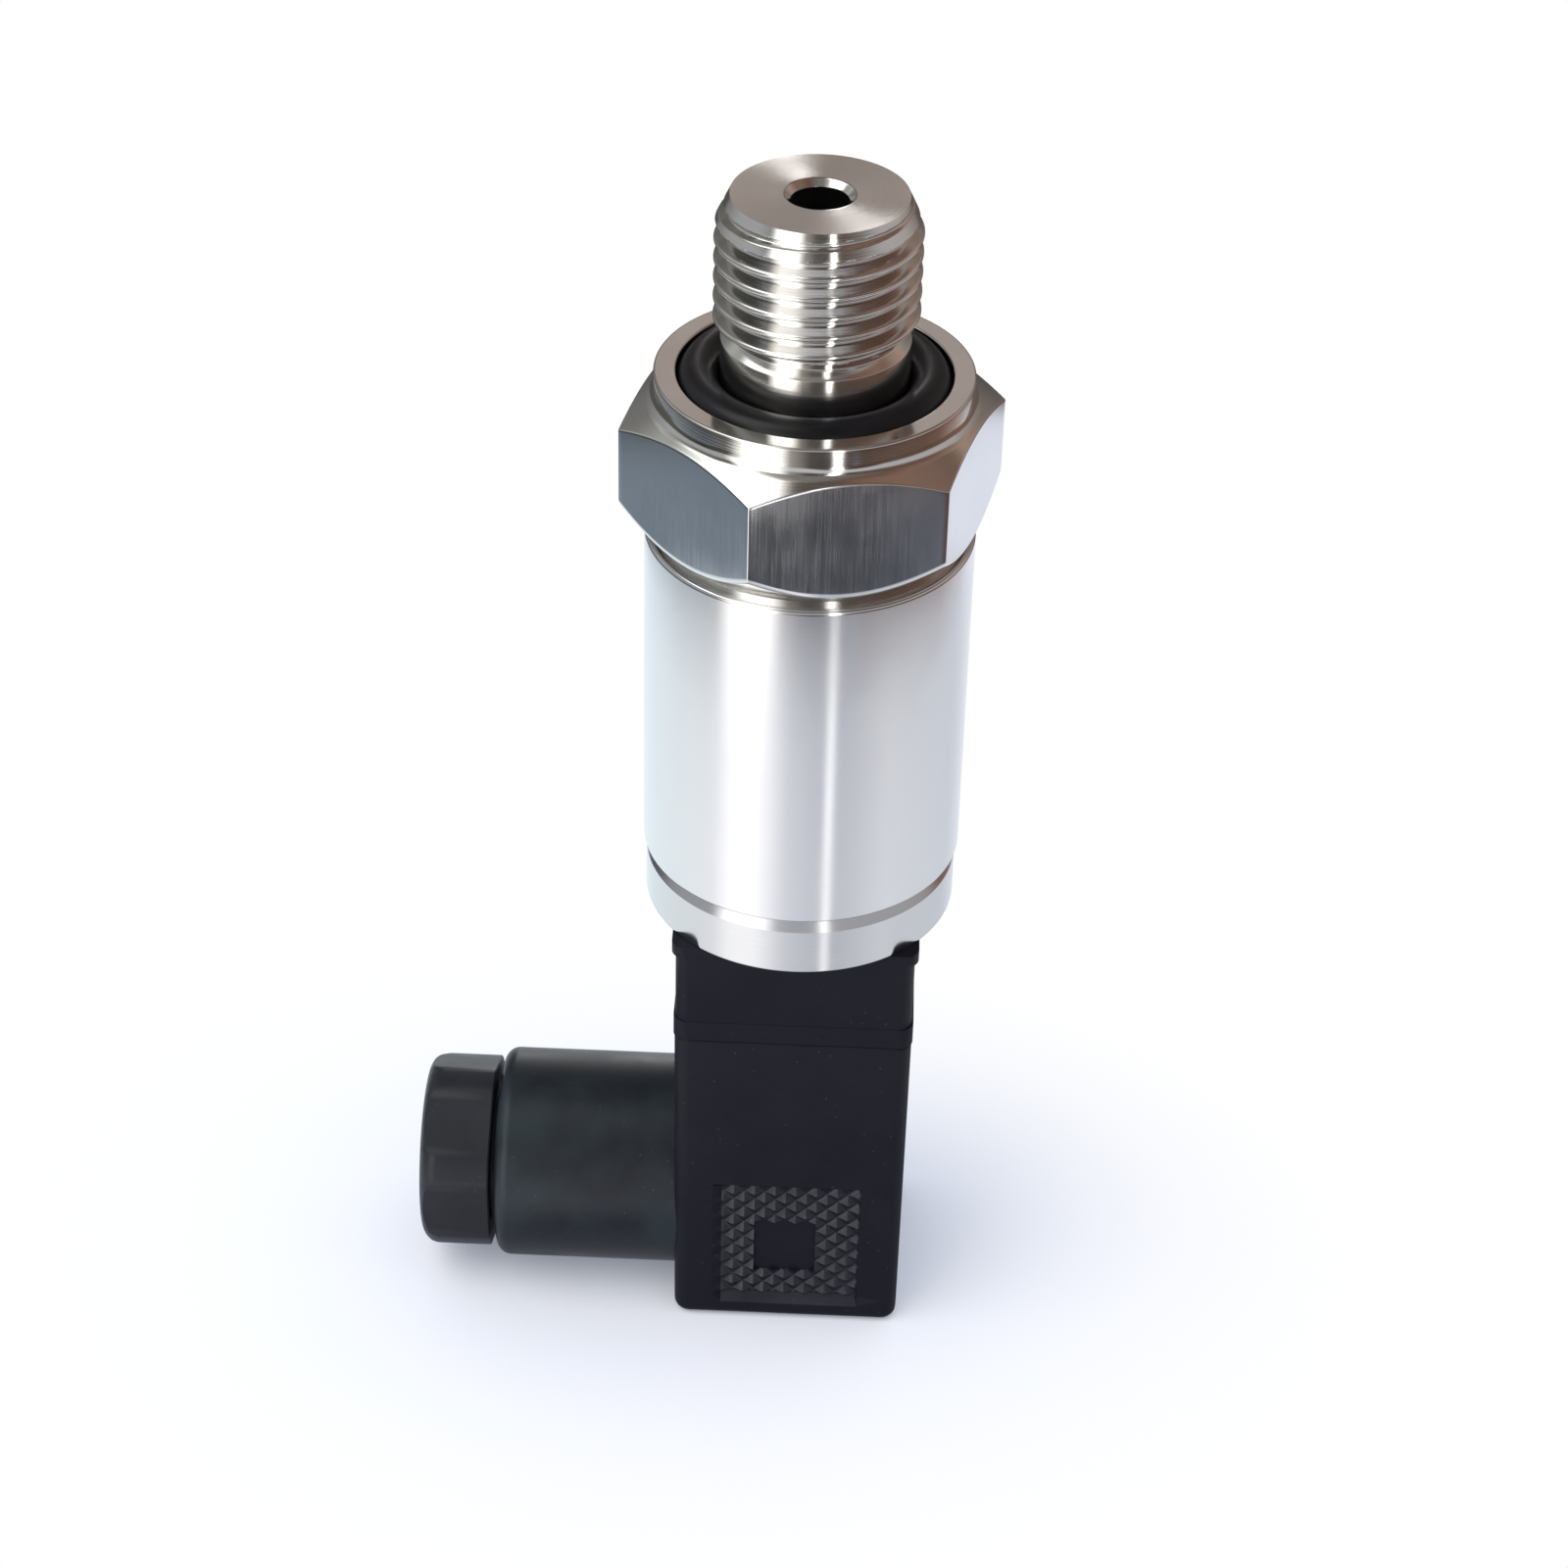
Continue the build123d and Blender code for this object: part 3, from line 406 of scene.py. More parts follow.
class Nodes:
    """Adds and joins nodes in one shader tree."""

    def __init__(self, tree: bpy.types.NodeTree) -> None:
        """Start on a tree.

        Args:
            tree: the tree to build in.
        """
        self.tree = tree

    def add(self, kind: str, settings: dict | None = None, **inputs: object) -> bpy.types.Node:
        """Add a node.

        Args:
            kind: Blender's node type.
            settings: attributes of the node.
            inputs: socket values or the sockets that feed them, by name with _ for a space.
        """
        node = self.tree.nodes.new(kind)
        for key, value in (settings or {}).items():
            setattr(node, key, value)
        for key, value in inputs.items():
            self.feed(node, key.replace("_", " "), value)
        return node

    def feed(self, node: bpy.types.Node, socket: str | int, value: object) -> None:
        """Set a socket, with full opacity for a colour, or link it if the value is an output socket."""
        target = node.inputs[socket]
        if isinstance(value, bpy.types.NodeSocket):
            self.tree.links.new(value, target)
        elif target.type == "RGBA":
            target.default_value = (*value, 1.0)
        else:
            target.default_value = value

    def math(self, operation: str, first: object, second: object = 0.0) -> bpy.types.NodeSocket:
        """Add a Math node on two values."""
        node = self.add("ShaderNodeMath", {"operation": operation})
        self.feed(node, 0, first)
        self.feed(node, 1, second)
        return node.outputs[0]

    def position_mm(self) -> bpy.types.NodeSocket:
        """Object coordinates in millimetres."""
        place = self.add("ShaderNodeTexCoord").outputs["Object"]
        scaled = self.add("ShaderNodeVectorMath", {"operation": "SCALE"}, Scale=1 / MM)
        self.feed(scaled, 0, place)
        return scaled.outputs[0]

    def group(self, tree: bpy.types.NodeTree, **inputs: object) -> bpy.types.Node:
        """Place a node group."""
        return self.add("ShaderNodeGroup", {"node_tree": tree}, **inputs)

    def mix(self, share: object, first: object, second: object) -> bpy.types.NodeSocket:
        """Mix two colours by a share."""
        node = self.add("ShaderNodeMix", {"data_type": "RGBA"})
        for socket, value in ((0, share), (6, first), (7, second)):
            self.feed(node, socket, value)
        return node.outputs[2]

    def mix_shader(self, share: object, first: object, second: object) -> bpy.types.NodeSocket:
        """Mix two shaders by a share."""
        node = self.add("ShaderNodeMixShader")
        for socket, value in enumerate((share, first, second)):
            self.feed(node, socket, value)
        return node.outputs[0]

    def noise(self, place: object, scale: object, detail: float, roughness: float) -> bpy.types.NodeSocket:
        """Noise between 0 and 1 over a place."""
        node = self.add("ShaderNodeTexNoise", Vector=place, Scale=scale, Detail=detail, Roughness=roughness)
        return node.outputs[0]

    def spread(
        self,
        value: object,
        start: Sequence[float],
        end: Sequence[object] = (0.0, 1.0),
        smooth: bool = False,
    ) -> bpy.types.NodeSocket:
        """Carry a value from one range to another and hold it at the ends.

        Args:
            value: the value's socket.
            start: lowest and highest value going in.
            end: lowest and highest value coming out.
            smooth: whether it eases in and out.

        Returns:
            The carried value's socket.
        """
        style = {"interpolation_type": "SMOOTHSTEP" if smooth else "LINEAR"}
        node = self.add("ShaderNodeMapRange", style, Value=value)
        for socket, limit in zip(("From Min", "From Max", "To Min", "To Max"), (*start, *end)):
            self.feed(node, socket, limit)
        return node.outputs[0]

    def length(self, vector: bpy.types.NodeSocket) -> bpy.types.NodeSocket:
        """Length of a vector."""
        node = self.add("ShaderNodeVectorMath", {"operation": "LENGTH"})
        self.feed(node, 0, vector)
        return node.outputs["Value"]

    def split(self, vector: bpy.types.NodeSocket) -> list[bpy.types.NodeSocket]:
        """The three parts of a vector."""
        return list(self.add("ShaderNodeSeparateXYZ", Vector=vector).outputs)

    def join(self, x: object, y: object, z: object) -> bpy.types.NodeSocket:
        """Vector of three parts."""
        return self.add("ShaderNodeCombineXYZ", X=x, Y=y, Z=z).outputs[0]


def new_group(
    name: str, inputs: dict[str, str], outputs: dict[str, str]
) -> tuple[bpy.types.NodeTree, Nodes, dict[str, object]]:
    """Make an empty node group with named sockets.

    Args:
        name: the group's name.
        inputs: socket name to socket type.
        outputs: socket name to socket type.

    Returns:
        The group, its helper, and its input sockets with the output node under "out".
    """
    tree = bpy.data.node_groups.new(name, "ShaderNodeTree")
    for key, kind in inputs.items():
        tree.interface.new_socket(key, in_out="INPUT", socket_type=kind)
    for key, kind in outputs.items():
        tree.interface.new_socket(key, in_out="OUTPUT", socket_type=kind)
    nodes = Nodes(tree)
    source = nodes.add("NodeGroupInput")
    sockets = {key: source.outputs[key] for key in inputs}
    sockets["out"] = nodes.add("NodeGroupOutput")
    return tree, nodes, sockets


FLOAT = "NodeSocketFloat"
VECTOR = "NodeSocketVector"
COLOUR = "NodeSocketColor"

# The part of a noise's range that it mostly fills.
NOISE_RANGE = (0.32, 0.68)


def turning_marks() -> bpy.types.NodeTree:
    """Fine grooves left by a turning tool: noise that changes only with radius and height."""
    tree, nodes, sockets = new_group(
        "turning_marks", {"Position": VECTOR, "Density": FLOAT}, {"Height": FLOAT}
    )
    x, y, z = nodes.split(sockets["Position"])
    squares = nodes.math("ADD", nodes.math("POWER", x, 2.0), nodes.math("POWER", y, 2.0))
    radius = nodes.math("MULTIPLY", nodes.math("SQRT", squares), sockets["Density"])
    place = nodes.join(radius, 0.0, nodes.math("MULTIPLY", z, sockets["Density"]))
    nodes.feed(sockets["out"], "Height", nodes.noise(place, 1.0, detail=3.0, roughness=0.6))
    return tree


def brushed_streaks() -> bpy.types.NodeTree:
    """Streaks along Z: noise that changes fast across the axis and slowly along it."""
    tree, nodes, sockets = new_group(
        "brushed_streaks", {"Position": VECTOR, "Across": FLOAT, "Along": FLOAT}, {"Height": FLOAT}
    )
    rates = (sockets["Across"], sockets["Across"], sockets["Along"])
    parts = zip(nodes.split(sockets["Position"]), rates)
    place = nodes.join(*(nodes.math("MULTIPLY", part, rate) for part, rate in parts))
    nodes.feed(sockets["out"], "Height", nodes.noise(place, 1.0, detail=4.0, roughness=0.62))
    return tree


def clouding() -> bpy.types.NodeTree:
    """Broad soft variation between two values, with the variation itself as a mask from 0 to 1."""
    tree, nodes, sockets = new_group(
        "clouding",
        {"Position": VECTOR, "Size": FLOAT, "Low": FLOAT, "High": FLOAT},
        {"Value": FLOAT, "Mask": FLOAT},
    )
    scale = nodes.math("DIVIDE", 1.0, sockets["Size"])
    noise = nodes.noise(sockets["Position"], scale, detail=3.0, roughness=0.55)
    values = nodes.spread(noise, NOISE_RANGE, (sockets["Low"], sockets["High"]))
    nodes.feed(sockets["out"], "Value", values)
    nodes.feed(sockets["out"], "Mask", nodes.spread(noise, NOISE_RANGE))
    return tree


def moulded_grain() -> bpy.types.NodeTree:
    """Pebbled skin of a moulding, with sparse pits that dent it; the finishes also lighten the colour at the
    pits as painted glints.

    The pits are round spots at the cells of a pattern about eight times as coarse as the grain.
    """
    tree, nodes, sockets = new_group(
        "moulded_grain", {"Position": VECTOR, "Size": FLOAT}, {"Height": FLOAT, "Pits": FLOAT}
    )
    place = sockets["Position"]
    scale = nodes.math("DIVIDE", 1.0, sockets["Size"])
    coarse = nodes.math("MULTIPLY", scale, 0.12)
    pebbles = nodes.noise(place, scale, detail=2.0, roughness=0.5)
    cells = nodes.add("ShaderNodeTexVoronoi", Vector=place, Scale=coarse)
    pits = nodes.spread(cells.outputs["Distance"], (0.0, 0.09), (1.0, 0.0))
    nodes.feed(sockets["out"], "Height", nodes.math("SUBTRACT", pebbles, pits))
    nodes.feed(sockets["out"], "Pits", pits)
    return tree


class Effects:
    """The node groups that the finishes share, each built once."""

    def __init__(self) -> None:
        """Build the groups."""
        self.turning = turning_marks()
        self.streaks = brushed_streaks()
        self.clouds = clouding()
        self.grain = moulded_grain()


class Lay(Enum):
    """Direction of the tool marks on a metal surface."""

    TURNED = "turned"
    DRAWN = "drawn"


# Shares of clouds and marks in a metal's colour, how far the marks sway its roughness, how much
# longer than wide a drawn mark is, the painted glint colour that pits lighten a moulding to, and metres in a
# micrometre.
CLOUD_SHARE = 0.4
MARK_SHARE = 0.6
ROUGHNESS_SWAY = 0.12
DRAWN_STRETCH = 40
PIT_GLINT_COLOUR = (0.35, 0.36, 0.38)
MICROMETRE = 1e-6

# Size of the broad clouds in millimetres.
METAL_CLOUDS = 6.0
MOULDED_CLOUDS = 4.5


def start_material(name: str) -> tuple[bpy.types.Material, Nodes, bpy.types.Node]:
    """New material with its Principled shader."""
    material = bpy.data.materials.new(name)
    material.use_nodes = True
    nodes = Nodes(material.node_tree)
    return material, nodes, material.node_tree.nodes["Principled BSDF"]


@dataclass(frozen=True)
class MetalFinish:
    """Machined metal.

    Args:
        name: the material's name.
        light: reflectance where the metal is cleanest.
        dark: reflectance where it is dullest.
        roughness: lowest and highest roughness.
        lay: direction of the tool marks.
        density: marks for each millimetre.
        depth: height of the marks in micrometres.
        anisotropy: how far the marks stretch a highlight.
    """

    name: str
    light: Colour
    dark: Colour
    roughness: tuple[float, float]
    lay: Lay = Lay.TURNED
    density: float = 9.0
    depth: float = 4.0
    anisotropy: float = 0.5

    def build(self, effects: Effects) -> bpy.types.Material:
        """Make the material: marks drive the bump, broad clouds drive colour and roughness."""
        material, nodes, shader = start_material(self.name)
        place = nodes.position_mm()
        if self.lay is Lay.TURNED:
            marks = nodes.group(effects.turning, Position=place, Density=self.density)
        else:
            along = self.density / DRAWN_STRETCH
            marks = nodes.group(effects.streaks, Position=place, Across=self.density, Along=along)
        height = marks.outputs["Height"]
        clouds = nodes.group(
            effects.clouds, Position=place, Size=METAL_CLOUDS, Low=self.roughness[0], High=self.roughness[1]
        )
        mixed = nodes.math("MULTIPLY", clouds.outputs["Mask"], CLOUD_SHARE)
        mixed = nodes.math("ADD", mixed, nodes.math("MULTIPLY", height, MARK_SHARE))
        nodes.feed(shader, "Base Color", nodes.mix(mixed, self.dark, self.light))
        sway = nodes.math("MULTIPLY", nodes.math("SUBTRACT", height, 0.5), ROUGHNESS_SWAY)
        nodes.feed(shader, "Roughness", nodes.math("ADD", clouds.outputs["Value"], sway))
        bump = nodes.add("ShaderNodeBump", Height=height, Strength=1.0, Distance=self.depth * MICROMETRE)
        nodes.feed(shader, "Normal", bump.outputs[0])
        nodes.feed(shader, "Metallic", 1.0)
        if self.anisotropy > 0:
            tangent = nodes.add("ShaderNodeTangent", {"direction_type": "RADIAL", "axis": "Z"})
            nodes.feed(shader, "Anisotropic", self.anisotropy)
            nodes.feed(shader, "Anisotropic Rotation", 0.25 if self.lay is Lay.TURNED else 0.0)
            nodes.feed(shader, "Tangent", tangent.outputs[0])
        return material


@dataclass(frozen=True)
class MouldedFinish:
    """Moulded plastic or rubber.

    Args:
        name: the material's name.
        tints: two close colours that the surface drifts between.
        roughness: lowest and highest roughness.
        grain: size of the pebbled skin in millimetres.
        depth: height of the grain in micrometres.
        specular: strength of the dielectric reflection.
        pits: how much the sparse pits lighten the surface.
    """

    name: str
    tints: tuple[Colour, Colour]
    roughness: tuple[float, float]
    grain: float = 0.12
    depth: float = 5.0
    specular: float = 0.5
    # pits: how much the sparse pits lighten the surface as painted glints.
    pits: float = 0.15

    def build(self, effects: Effects) -> bpy.types.Material:
        """Make the material: clouds drive tint and gloss, the grain drives the bump."""
        material, nodes, shader = start_material(self.name)
        place = nodes.position_mm()
        clouds = nodes.group(
            effects.clouds, Position=place, Size=MOULDED_CLOUDS, Low=self.roughness[0], High=self.roughness[1]
        )
        grain = nodes.group(effects.grain, Position=place, Size=self.grain)
        tint = nodes.mix(clouds.outputs["Mask"], *self.tints)
        # Painted glints: the pits lighten the tint towards a pale grey.
        share = nodes.math("MULTIPLY", grain.outputs["Pits"], self.pits)
        nodes.feed(shader, "Base Color", nodes.mix(share, tint, PIT_GLINT_COLOUR))
        nodes.feed(shader, "Roughness", clouds.outputs["Value"])
        nodes.feed(shader, "Specular IOR Level", self.specular)
        depth = self.depth * MICROMETRE
        bump = nodes.add("ShaderNodeBump", Height=grain.outputs["Height"], Strength=1.0, Distance=depth)
        nodes.feed(shader, "Normal", bump.outputs[0])
        return material


BLACK = ((0.0060, 0.0060, 0.0125), (0.0090, 0.0090, 0.0165))
# Lighter black for the grip panels' diamonds and bottom ledge: painted light, standing in for the light that
# these upturned faces catch.
PAINTED_LIT_BLACK = ((0.010, 0.011, 0.019), (0.016, 0.018, 0.028))
TEAL = ((0.007, 0.009, 0.015), (0.013, 0.024, 0.030))
GREY = ((0.018, 0.020, 0.025), (0.026, 0.028, 0.034))
INSULATOR = ((0.10, 0.10, 0.11), (0.13, 0.13, 0.14))
NITRILE = ((0.006, 0.006, 0.007), (0.010, 0.010, 0.012))
RESIST = ((0.012, 0.10, 0.04), (0.02, 0.15, 0.06))
RED = ((0.42, 0.03, 0.02), (0.5, 0.05, 0.03))

MOULDED = (
    MouldedFinish("plug_plastic", BLACK, (0.46, 0.56), specular=0.22),
    # The grip finish is lighter and more pitted than the plug's: painted light on the diamonds and ledge, and
    # more painted glints.
    MouldedFinish("grip_plastic_painted_lit", PAINTED_LIT_BLACK, (0.34, 0.44), pits=0.3),
    MouldedFinish("base_plastic", BLACK, (0.48, 0.58), specular=0.22),
    MouldedFinish("gland_tube_plastic", TEAL, (0.34, 0.46), specular=0.48),
    MouldedFinish("gland_plastic", GREY, (0.34, 0.42), depth=3.0, specular=0.30),
    MouldedFinish("carrier_plastic", INSULATOR, (0.45, 0.55)),
    MouldedFinish("seal_rubber", NITRILE, (0.28, 0.38), depth=2.0, specular=0.3, pits=0.03),
    MouldedFinish("gasket_rubber", BLACK, (0.50, 0.60), specular=0.20, pits=0.05),
    MouldedFinish("circuit_board", RESIST, (0.25, 0.35), pits=0.0),
    MouldedFinish("wire_jacket", RED, (0.3, 0.4), pits=0.0),
)
METALS = (
    MetalFinish("connection_steel", (0.84, 0.83, 0.81), (0.68, 0.66, 0.63), (0.09, 0.15), depth=3.0),
    MetalFinish(
        "end_face_steel", (0.80, 0.78, 0.76), (0.60, 0.575, 0.55), (0.16, 0.19), density=11.0, anisotropy=0.95
    ),
    MetalFinish(
        "hexagon_steel",
        (0.72, 0.73, 0.75),
        (0.54, 0.55, 0.57),
        (0.10, 0.15),
        Lay.DRAWN,
        depth=0.5,
        anisotropy=0.4,
    ),
    MetalFinish(
        "sleeve_steel", (0.80, 0.80, 0.81), (0.73, 0.73, 0.74), (0.14, 0.19), density=14.0, depth=1.0
    ),
    MetalFinish(
        "ring_steel",
        (0.72, 0.72, 0.73),
        (0.62, 0.62, 0.63),
        (0.14, 0.20),
        density=7.0,
        depth=2.0,
        anisotropy=0.4,
    ),
    MetalFinish("zinc_steel", (0.62, 0.63, 0.65), (0.48, 0.49, 0.50), (0.28, 0.38), anisotropy=0.0),
    MetalFinish(
        "contact_brass", (0.80, 0.62, 0.30), (0.68, 0.50, 0.22), (0.24, 0.36), Lay.DRAWN, anisotropy=0.0
    ),
    MetalFinish(
        "contact_tin", (0.80, 0.80, 0.79), (0.70, 0.70, 0.69), (0.22, 0.30), Lay.DRAWN, anisotropy=0.0
    ),
)


class Finishes:
    """Every material of the object, found by its name."""

    def __init__(self) -> None:
        """Build the node groups and the materials."""
        effects = Effects()
        self.made = {finish.name: finish.build(effects) for finish in (*MOULDED, *METALS)}

    def __getitem__(self, name: str) -> bpy.types.Material:
        """Material of that name."""
        return self.made[name]


# The pressure connection


@dataclass
class Connection:
    """The turned pressure connection: thread, spigot, seal recess, collar, hexagon and skirt."""

    skirt_z: float = 53.0
    neck_z: float = 62.9
    hex_z: float = 63.35
    collar_z: float = 72.6
    rim_z: float = 74.3
    seal_z: float = 72.1
    spigot_top_z: float = 76.75
    undercut_z: float = 77.25
    thread_z: float = 78.1
    lead_in_z: float = 84.6
    top_z: float = 86.6
    skirt_radius: float = 9.75
    neck_radius: float = 10.05
    hex_foot_radius: float = 10.35
    hex_apothem: float = 11.0
    hex_turn: float = 13.4
    hex_foot_angle: float = 45.0
    hex_top_angle: float = 33.0
    hex_corner_rounding: float = 0.14
    collar_radius: float = 10.3
    recess_radius: float = 8.87
    spigot_radius: float = 6.08
    undercut_radius: float = 5.503
    thread_radius: float = 6.5785
    thread: ThreadForm = ThreadForm(pitch=1.337, half_angle=27.5, rounding=0.1836)
    face_radius: float = 5.62
    bore_radius: float = 1.85
    bore_flare: float = 0.42
    chamber_radius: float = 7.7
    chamber_roof_z: float = 66.0
    retainer_radius: float = 8.6
    retainer_top_z: float = 58.5
    thread_rows: int = 236
    run_in: float = 0.5
    neck_rounding: float = 0.1
    foot_rounding: float = 0.06
    flat_foot_rounding: float = 0.6
    flat_top_rounding: float = 0.12
    collar_rounding: float = 1.1
    rim_rounding: float = 0.14
    rim_inner_rounding: float = 0.12
    recess_rounding: float = 0.2
    spigot_rounding: float = 0.08
    undercut_rounding: float = 0.1
    flare_rounding: float = 0.15
    bore_rounding: float = 0.04
    face_border: float = 0.05

    def angles(self) -> np.ndarray:
        """Columns that follow the hexagon's flats and corner arcs."""
        half_arc = corner_half_angle(self.hex_apothem, self.hex_corner_rounding)
        breaks = (-half_arc, half_arc, SIXTH - half_arc)
        return sector_angles(breaks, (4, 34), math.radians(self.hex_turn))

    def body_rows(self, angles: np.ndarray) -> tuple[np.ndarray, np.ndarray]:
        """Rows from the skirt's bore, out and up to the undercut, and which bands are flats."""
        outline = hexagon_radius(
            angles, self.hex_apothem, math.radians(self.hex_turn), self.hex_corner_rounding
        )
        foot = self.hex_z + (outline - self.hex_foot_radius) * math.tan(math.radians(self.hex_foot_angle))
        top = self.collar_z - (outline - self.collar_radius) * math.tan(math.radians(self.hex_top_angle))
        corners = [
            Corner(self.retainer_radius, self.skirt_z),
            Corner(self.skirt_radius, self.skirt_z),
            Corner(self.skirt_radius, self.neck_z),
            Corner(self.neck_radius, self.neck_z),
            Corner(self.neck_radius, self.hex_z, self.neck_rounding),
            Corner(self.hex_foot_radius, self.hex_z, self.foot_rounding),
            Corner(outline, foot, self.flat_foot_rounding, steps=8),
            Corner(outline, top, self.flat_top_rounding),
            Corner(self.collar_radius, self.collar_z, self.collar_rounding, steps=6),
            Corner(self.collar_radius, self.rim_z, self.rim_rounding),
            Corner(self.recess_radius, self.rim_z, self.rim_inner_rounding),
            Corner(self.recess_radius, self.seal_z, self.recess_rounding),
            Corner(self.spigot_radius, self.seal_z, self.recess_rounding),
            Corner(self.spigot_radius, self.spigot_top_z, self.spigot_rounding),
            Corner(self.undercut_radius, self.undercut_z, self.undercut_rounding),
            Corner(self.undercut_radius, self.thread_z - self.run_in),
        ]
        rows = profile_rows(corners, len(angles), closed=False)
        mid_flat = (foot + top) / 2
        reach = np.abs(rows[..., 1].mean(1) - mid_flat.mean())
        on_outline = np.abs(rows[..., 0].mean(1) - outline.mean()) < CLOSE
        return rows, (reach < (top - foot).mean() / 2) & on_outline

    def thread_part(self, angles: np.ndarray) -> np.ndarray:
        """Rows of the thread between the undercut and the end face.

        The thread is cut back by a cone that climbs from the undercut over the run-in, and by one
        that falls to the end face over the lead-in.
        """
        heights = np.linspace(self.thread_z - self.run_in, self.top_z, self.thread_rows)[1:-1]
        share = (heights - self.thread_z + self.run_in) / self.run_in
        foot = self.undercut_radius + share * (self.thread_radius - self.undercut_radius)
        slope = (self.thread_radius - self.face_radius) / (self.top_z - self.lead_in_z)
        lead_in = self.thread_radius - (heights - self.lead_in_z) * slope
        envelope = np.minimum(np.minimum(foot, lead_in), self.thread_radius)
        return threaded_rows(self.thread, self.thread_radius, heights, angles, envelope)

    def end_rows(self, columns: int) -> np.ndarray:
        """Rows from the end face in through the bore and the capsule chamber."""
        corners = [
            Corner(self.face_radius, self.top_z),
            Corner(self.face_radius - self.face_border, self.top_z),
            Corner(self.bore_radius + self.bore_flare, self.top_z, self.flare_rounding),
            Corner(self.bore_radius, self.top_z - self.bore_flare, self.bore_rounding),
            Corner(self.bore_radius, self.chamber_roof_z),
            Corner(self.chamber_radius, self.chamber_roof_z),
            Corner(self.chamber_radius, self.retainer_top_z),
            Corner(self.retainer_radius, self.retainer_top_z),
        ]
        return profile_rows(corners, columns, closed=False)

    def build(self, finishes: Finishes) -> bpy.types.Object:
        """Make the piece, its hexagon's flats and its end face in their own finishes."""
        angles = self.angles()
        body, on_flat = self.body_rows(angles)
        rows = np.concatenate([body, self.thread_part(angles), self.end_rows(len(angles))])
        slots = np.zeros(len(rows), dtype=int)
        slots[: len(on_flat) - 1] = (on_flat[:-1] & on_flat[1:]).astype(int)
        flat_end = (rows[..., 1].mean(1) > self.top_z - CLOSE) & (rows[..., 0].mean(1) > self.bore_radius)
        slots[:-1][flat_end[:-1] & flat_end[1:]] = 2
        piece = turned_object("pressure_connection", rows, angles, True, slots)
        for name in ("connection_steel", "hexagon_steel", "end_face_steel"):
            piece.data.materials.append(finishes[name])
        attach(piece, "transmitter")
        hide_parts("process_connection")
        return piece


@dataclass
class Body:
    """Sleeve, end ring and O-ring: the rest of the steel housing."""

    sleeve_z: float = 38.4
    sleeve_top_z: float = 62.9
    sleeve_radius: float = 10.85
    sleeve_bore: float = 9.85
    ring_z: float = 34.0
    ring_top_z: float = 38.3
    ring_radius: float = 10.65
    ring_bore: float = 8.0
    ring_chamfer: tuple[float, float] = (0.45, 0.93)
    skirt_radius: float = 9.75
    skirt_top_z: float = 42.9
    groove: tuple[float, float, float] = (9.01, 39.78, 40.82)
    seal_centre: tuple[float, float] = (7.48, 73.45)
    seal_section: float = 1.35
    sleeve_foot_rounding: float = 0.14
    sleeve_top_rounding: float = 0.25
    ring_roundings: tuple[float, float, float] = (0.12, 0.08, 0.06)
    columns: int = 192
    seal_columns: int = 128
    seal_rows: int = 40

    def sleeve(self) -> bpy.types.Object:
        """Thin tube with broken edges."""
        return lathe(
            "steel_sleeve",
            [
                Corner(self.sleeve_bore, self.sleeve_z),
                Corner(self.sleeve_radius, self.sleeve_z, self.sleeve_foot_rounding),
                Corner(self.sleeve_radius, self.sleeve_top_z, self.sleeve_top_rounding),
                Corner(self.sleeve_bore, self.sleeve_top_z),
            ],
            self.columns,
        )

    def ring(self) -> bpy.types.Object:
        """End ring with a chamfered shoulder and a grooved skirt."""
        inset, drop = self.ring_chamfer
        foot, shoulder, top = self.ring_roundings
        groove_radius, groove_low, groove_high = self.groove
        return lathe(
            "steel_end_ring",
            [
                Corner(self.ring_bore, self.ring_z),
                Corner(self.ring_radius, self.ring_z, foot),
                Corner(self.ring_radius, self.ring_top_z - drop, shoulder),
                Corner(self.ring_radius - inset, self.ring_top_z, top),
                Corner(self.skirt_radius, self.ring_top_z),
                Corner(self.skirt_radius, groove_low),
                Corner(groove_radius, groove_low),
                Corner(groove_radius, groove_high),
                Corner(self.skirt_radius, groove_high),
                Corner(self.skirt_radius, self.skirt_top_z),
                Corner(self.ring_bore, self.skirt_top_z),
            ],
            self.columns,
        )

    def o_ring(self) -> bpy.types.Object:
        """O-ring as a torus: a circle of the section's radius carried round the axis."""
        turns = np.linspace(0, TAU, self.seal_rows, endpoint=False)
        radius = self.seal_centre[0] + self.seal_section * np.cos(turns)
        height = self.seal_centre[1] + self.seal_section * np.sin(turns)
        angles = even_angles(self.seal_columns)
        rows = np.stack([np.repeat(v[:, None], len(angles), 1) for v in (radius, height)], axis=-1)
        return turned_object("port_o_ring", rows, angles)

    def build(self, finishes: Finishes) -> list[bpy.types.Object]:
        """Make and dress the three pieces."""
        dressed = (
            (self.sleeve(), "housing_sleeve", "sleeve_steel"),
            (self.ring(), "end_ring", "ring_steel"),
            (self.o_ring(), "seal_ring", "seal_rubber"),
        )
        for piece, node, slot in dressed:
            piece.data.materials.append(finishes[slot])
            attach(piece, "transmitter")
            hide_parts(node)
        return [row[0] for row in dressed]


# The plug


def within(values: np.ndarray, span: tuple[float, float]) -> np.ndarray:
    """Where values lie between the two ends of a span."""
    return (values > span[0]) & (values < span[1])


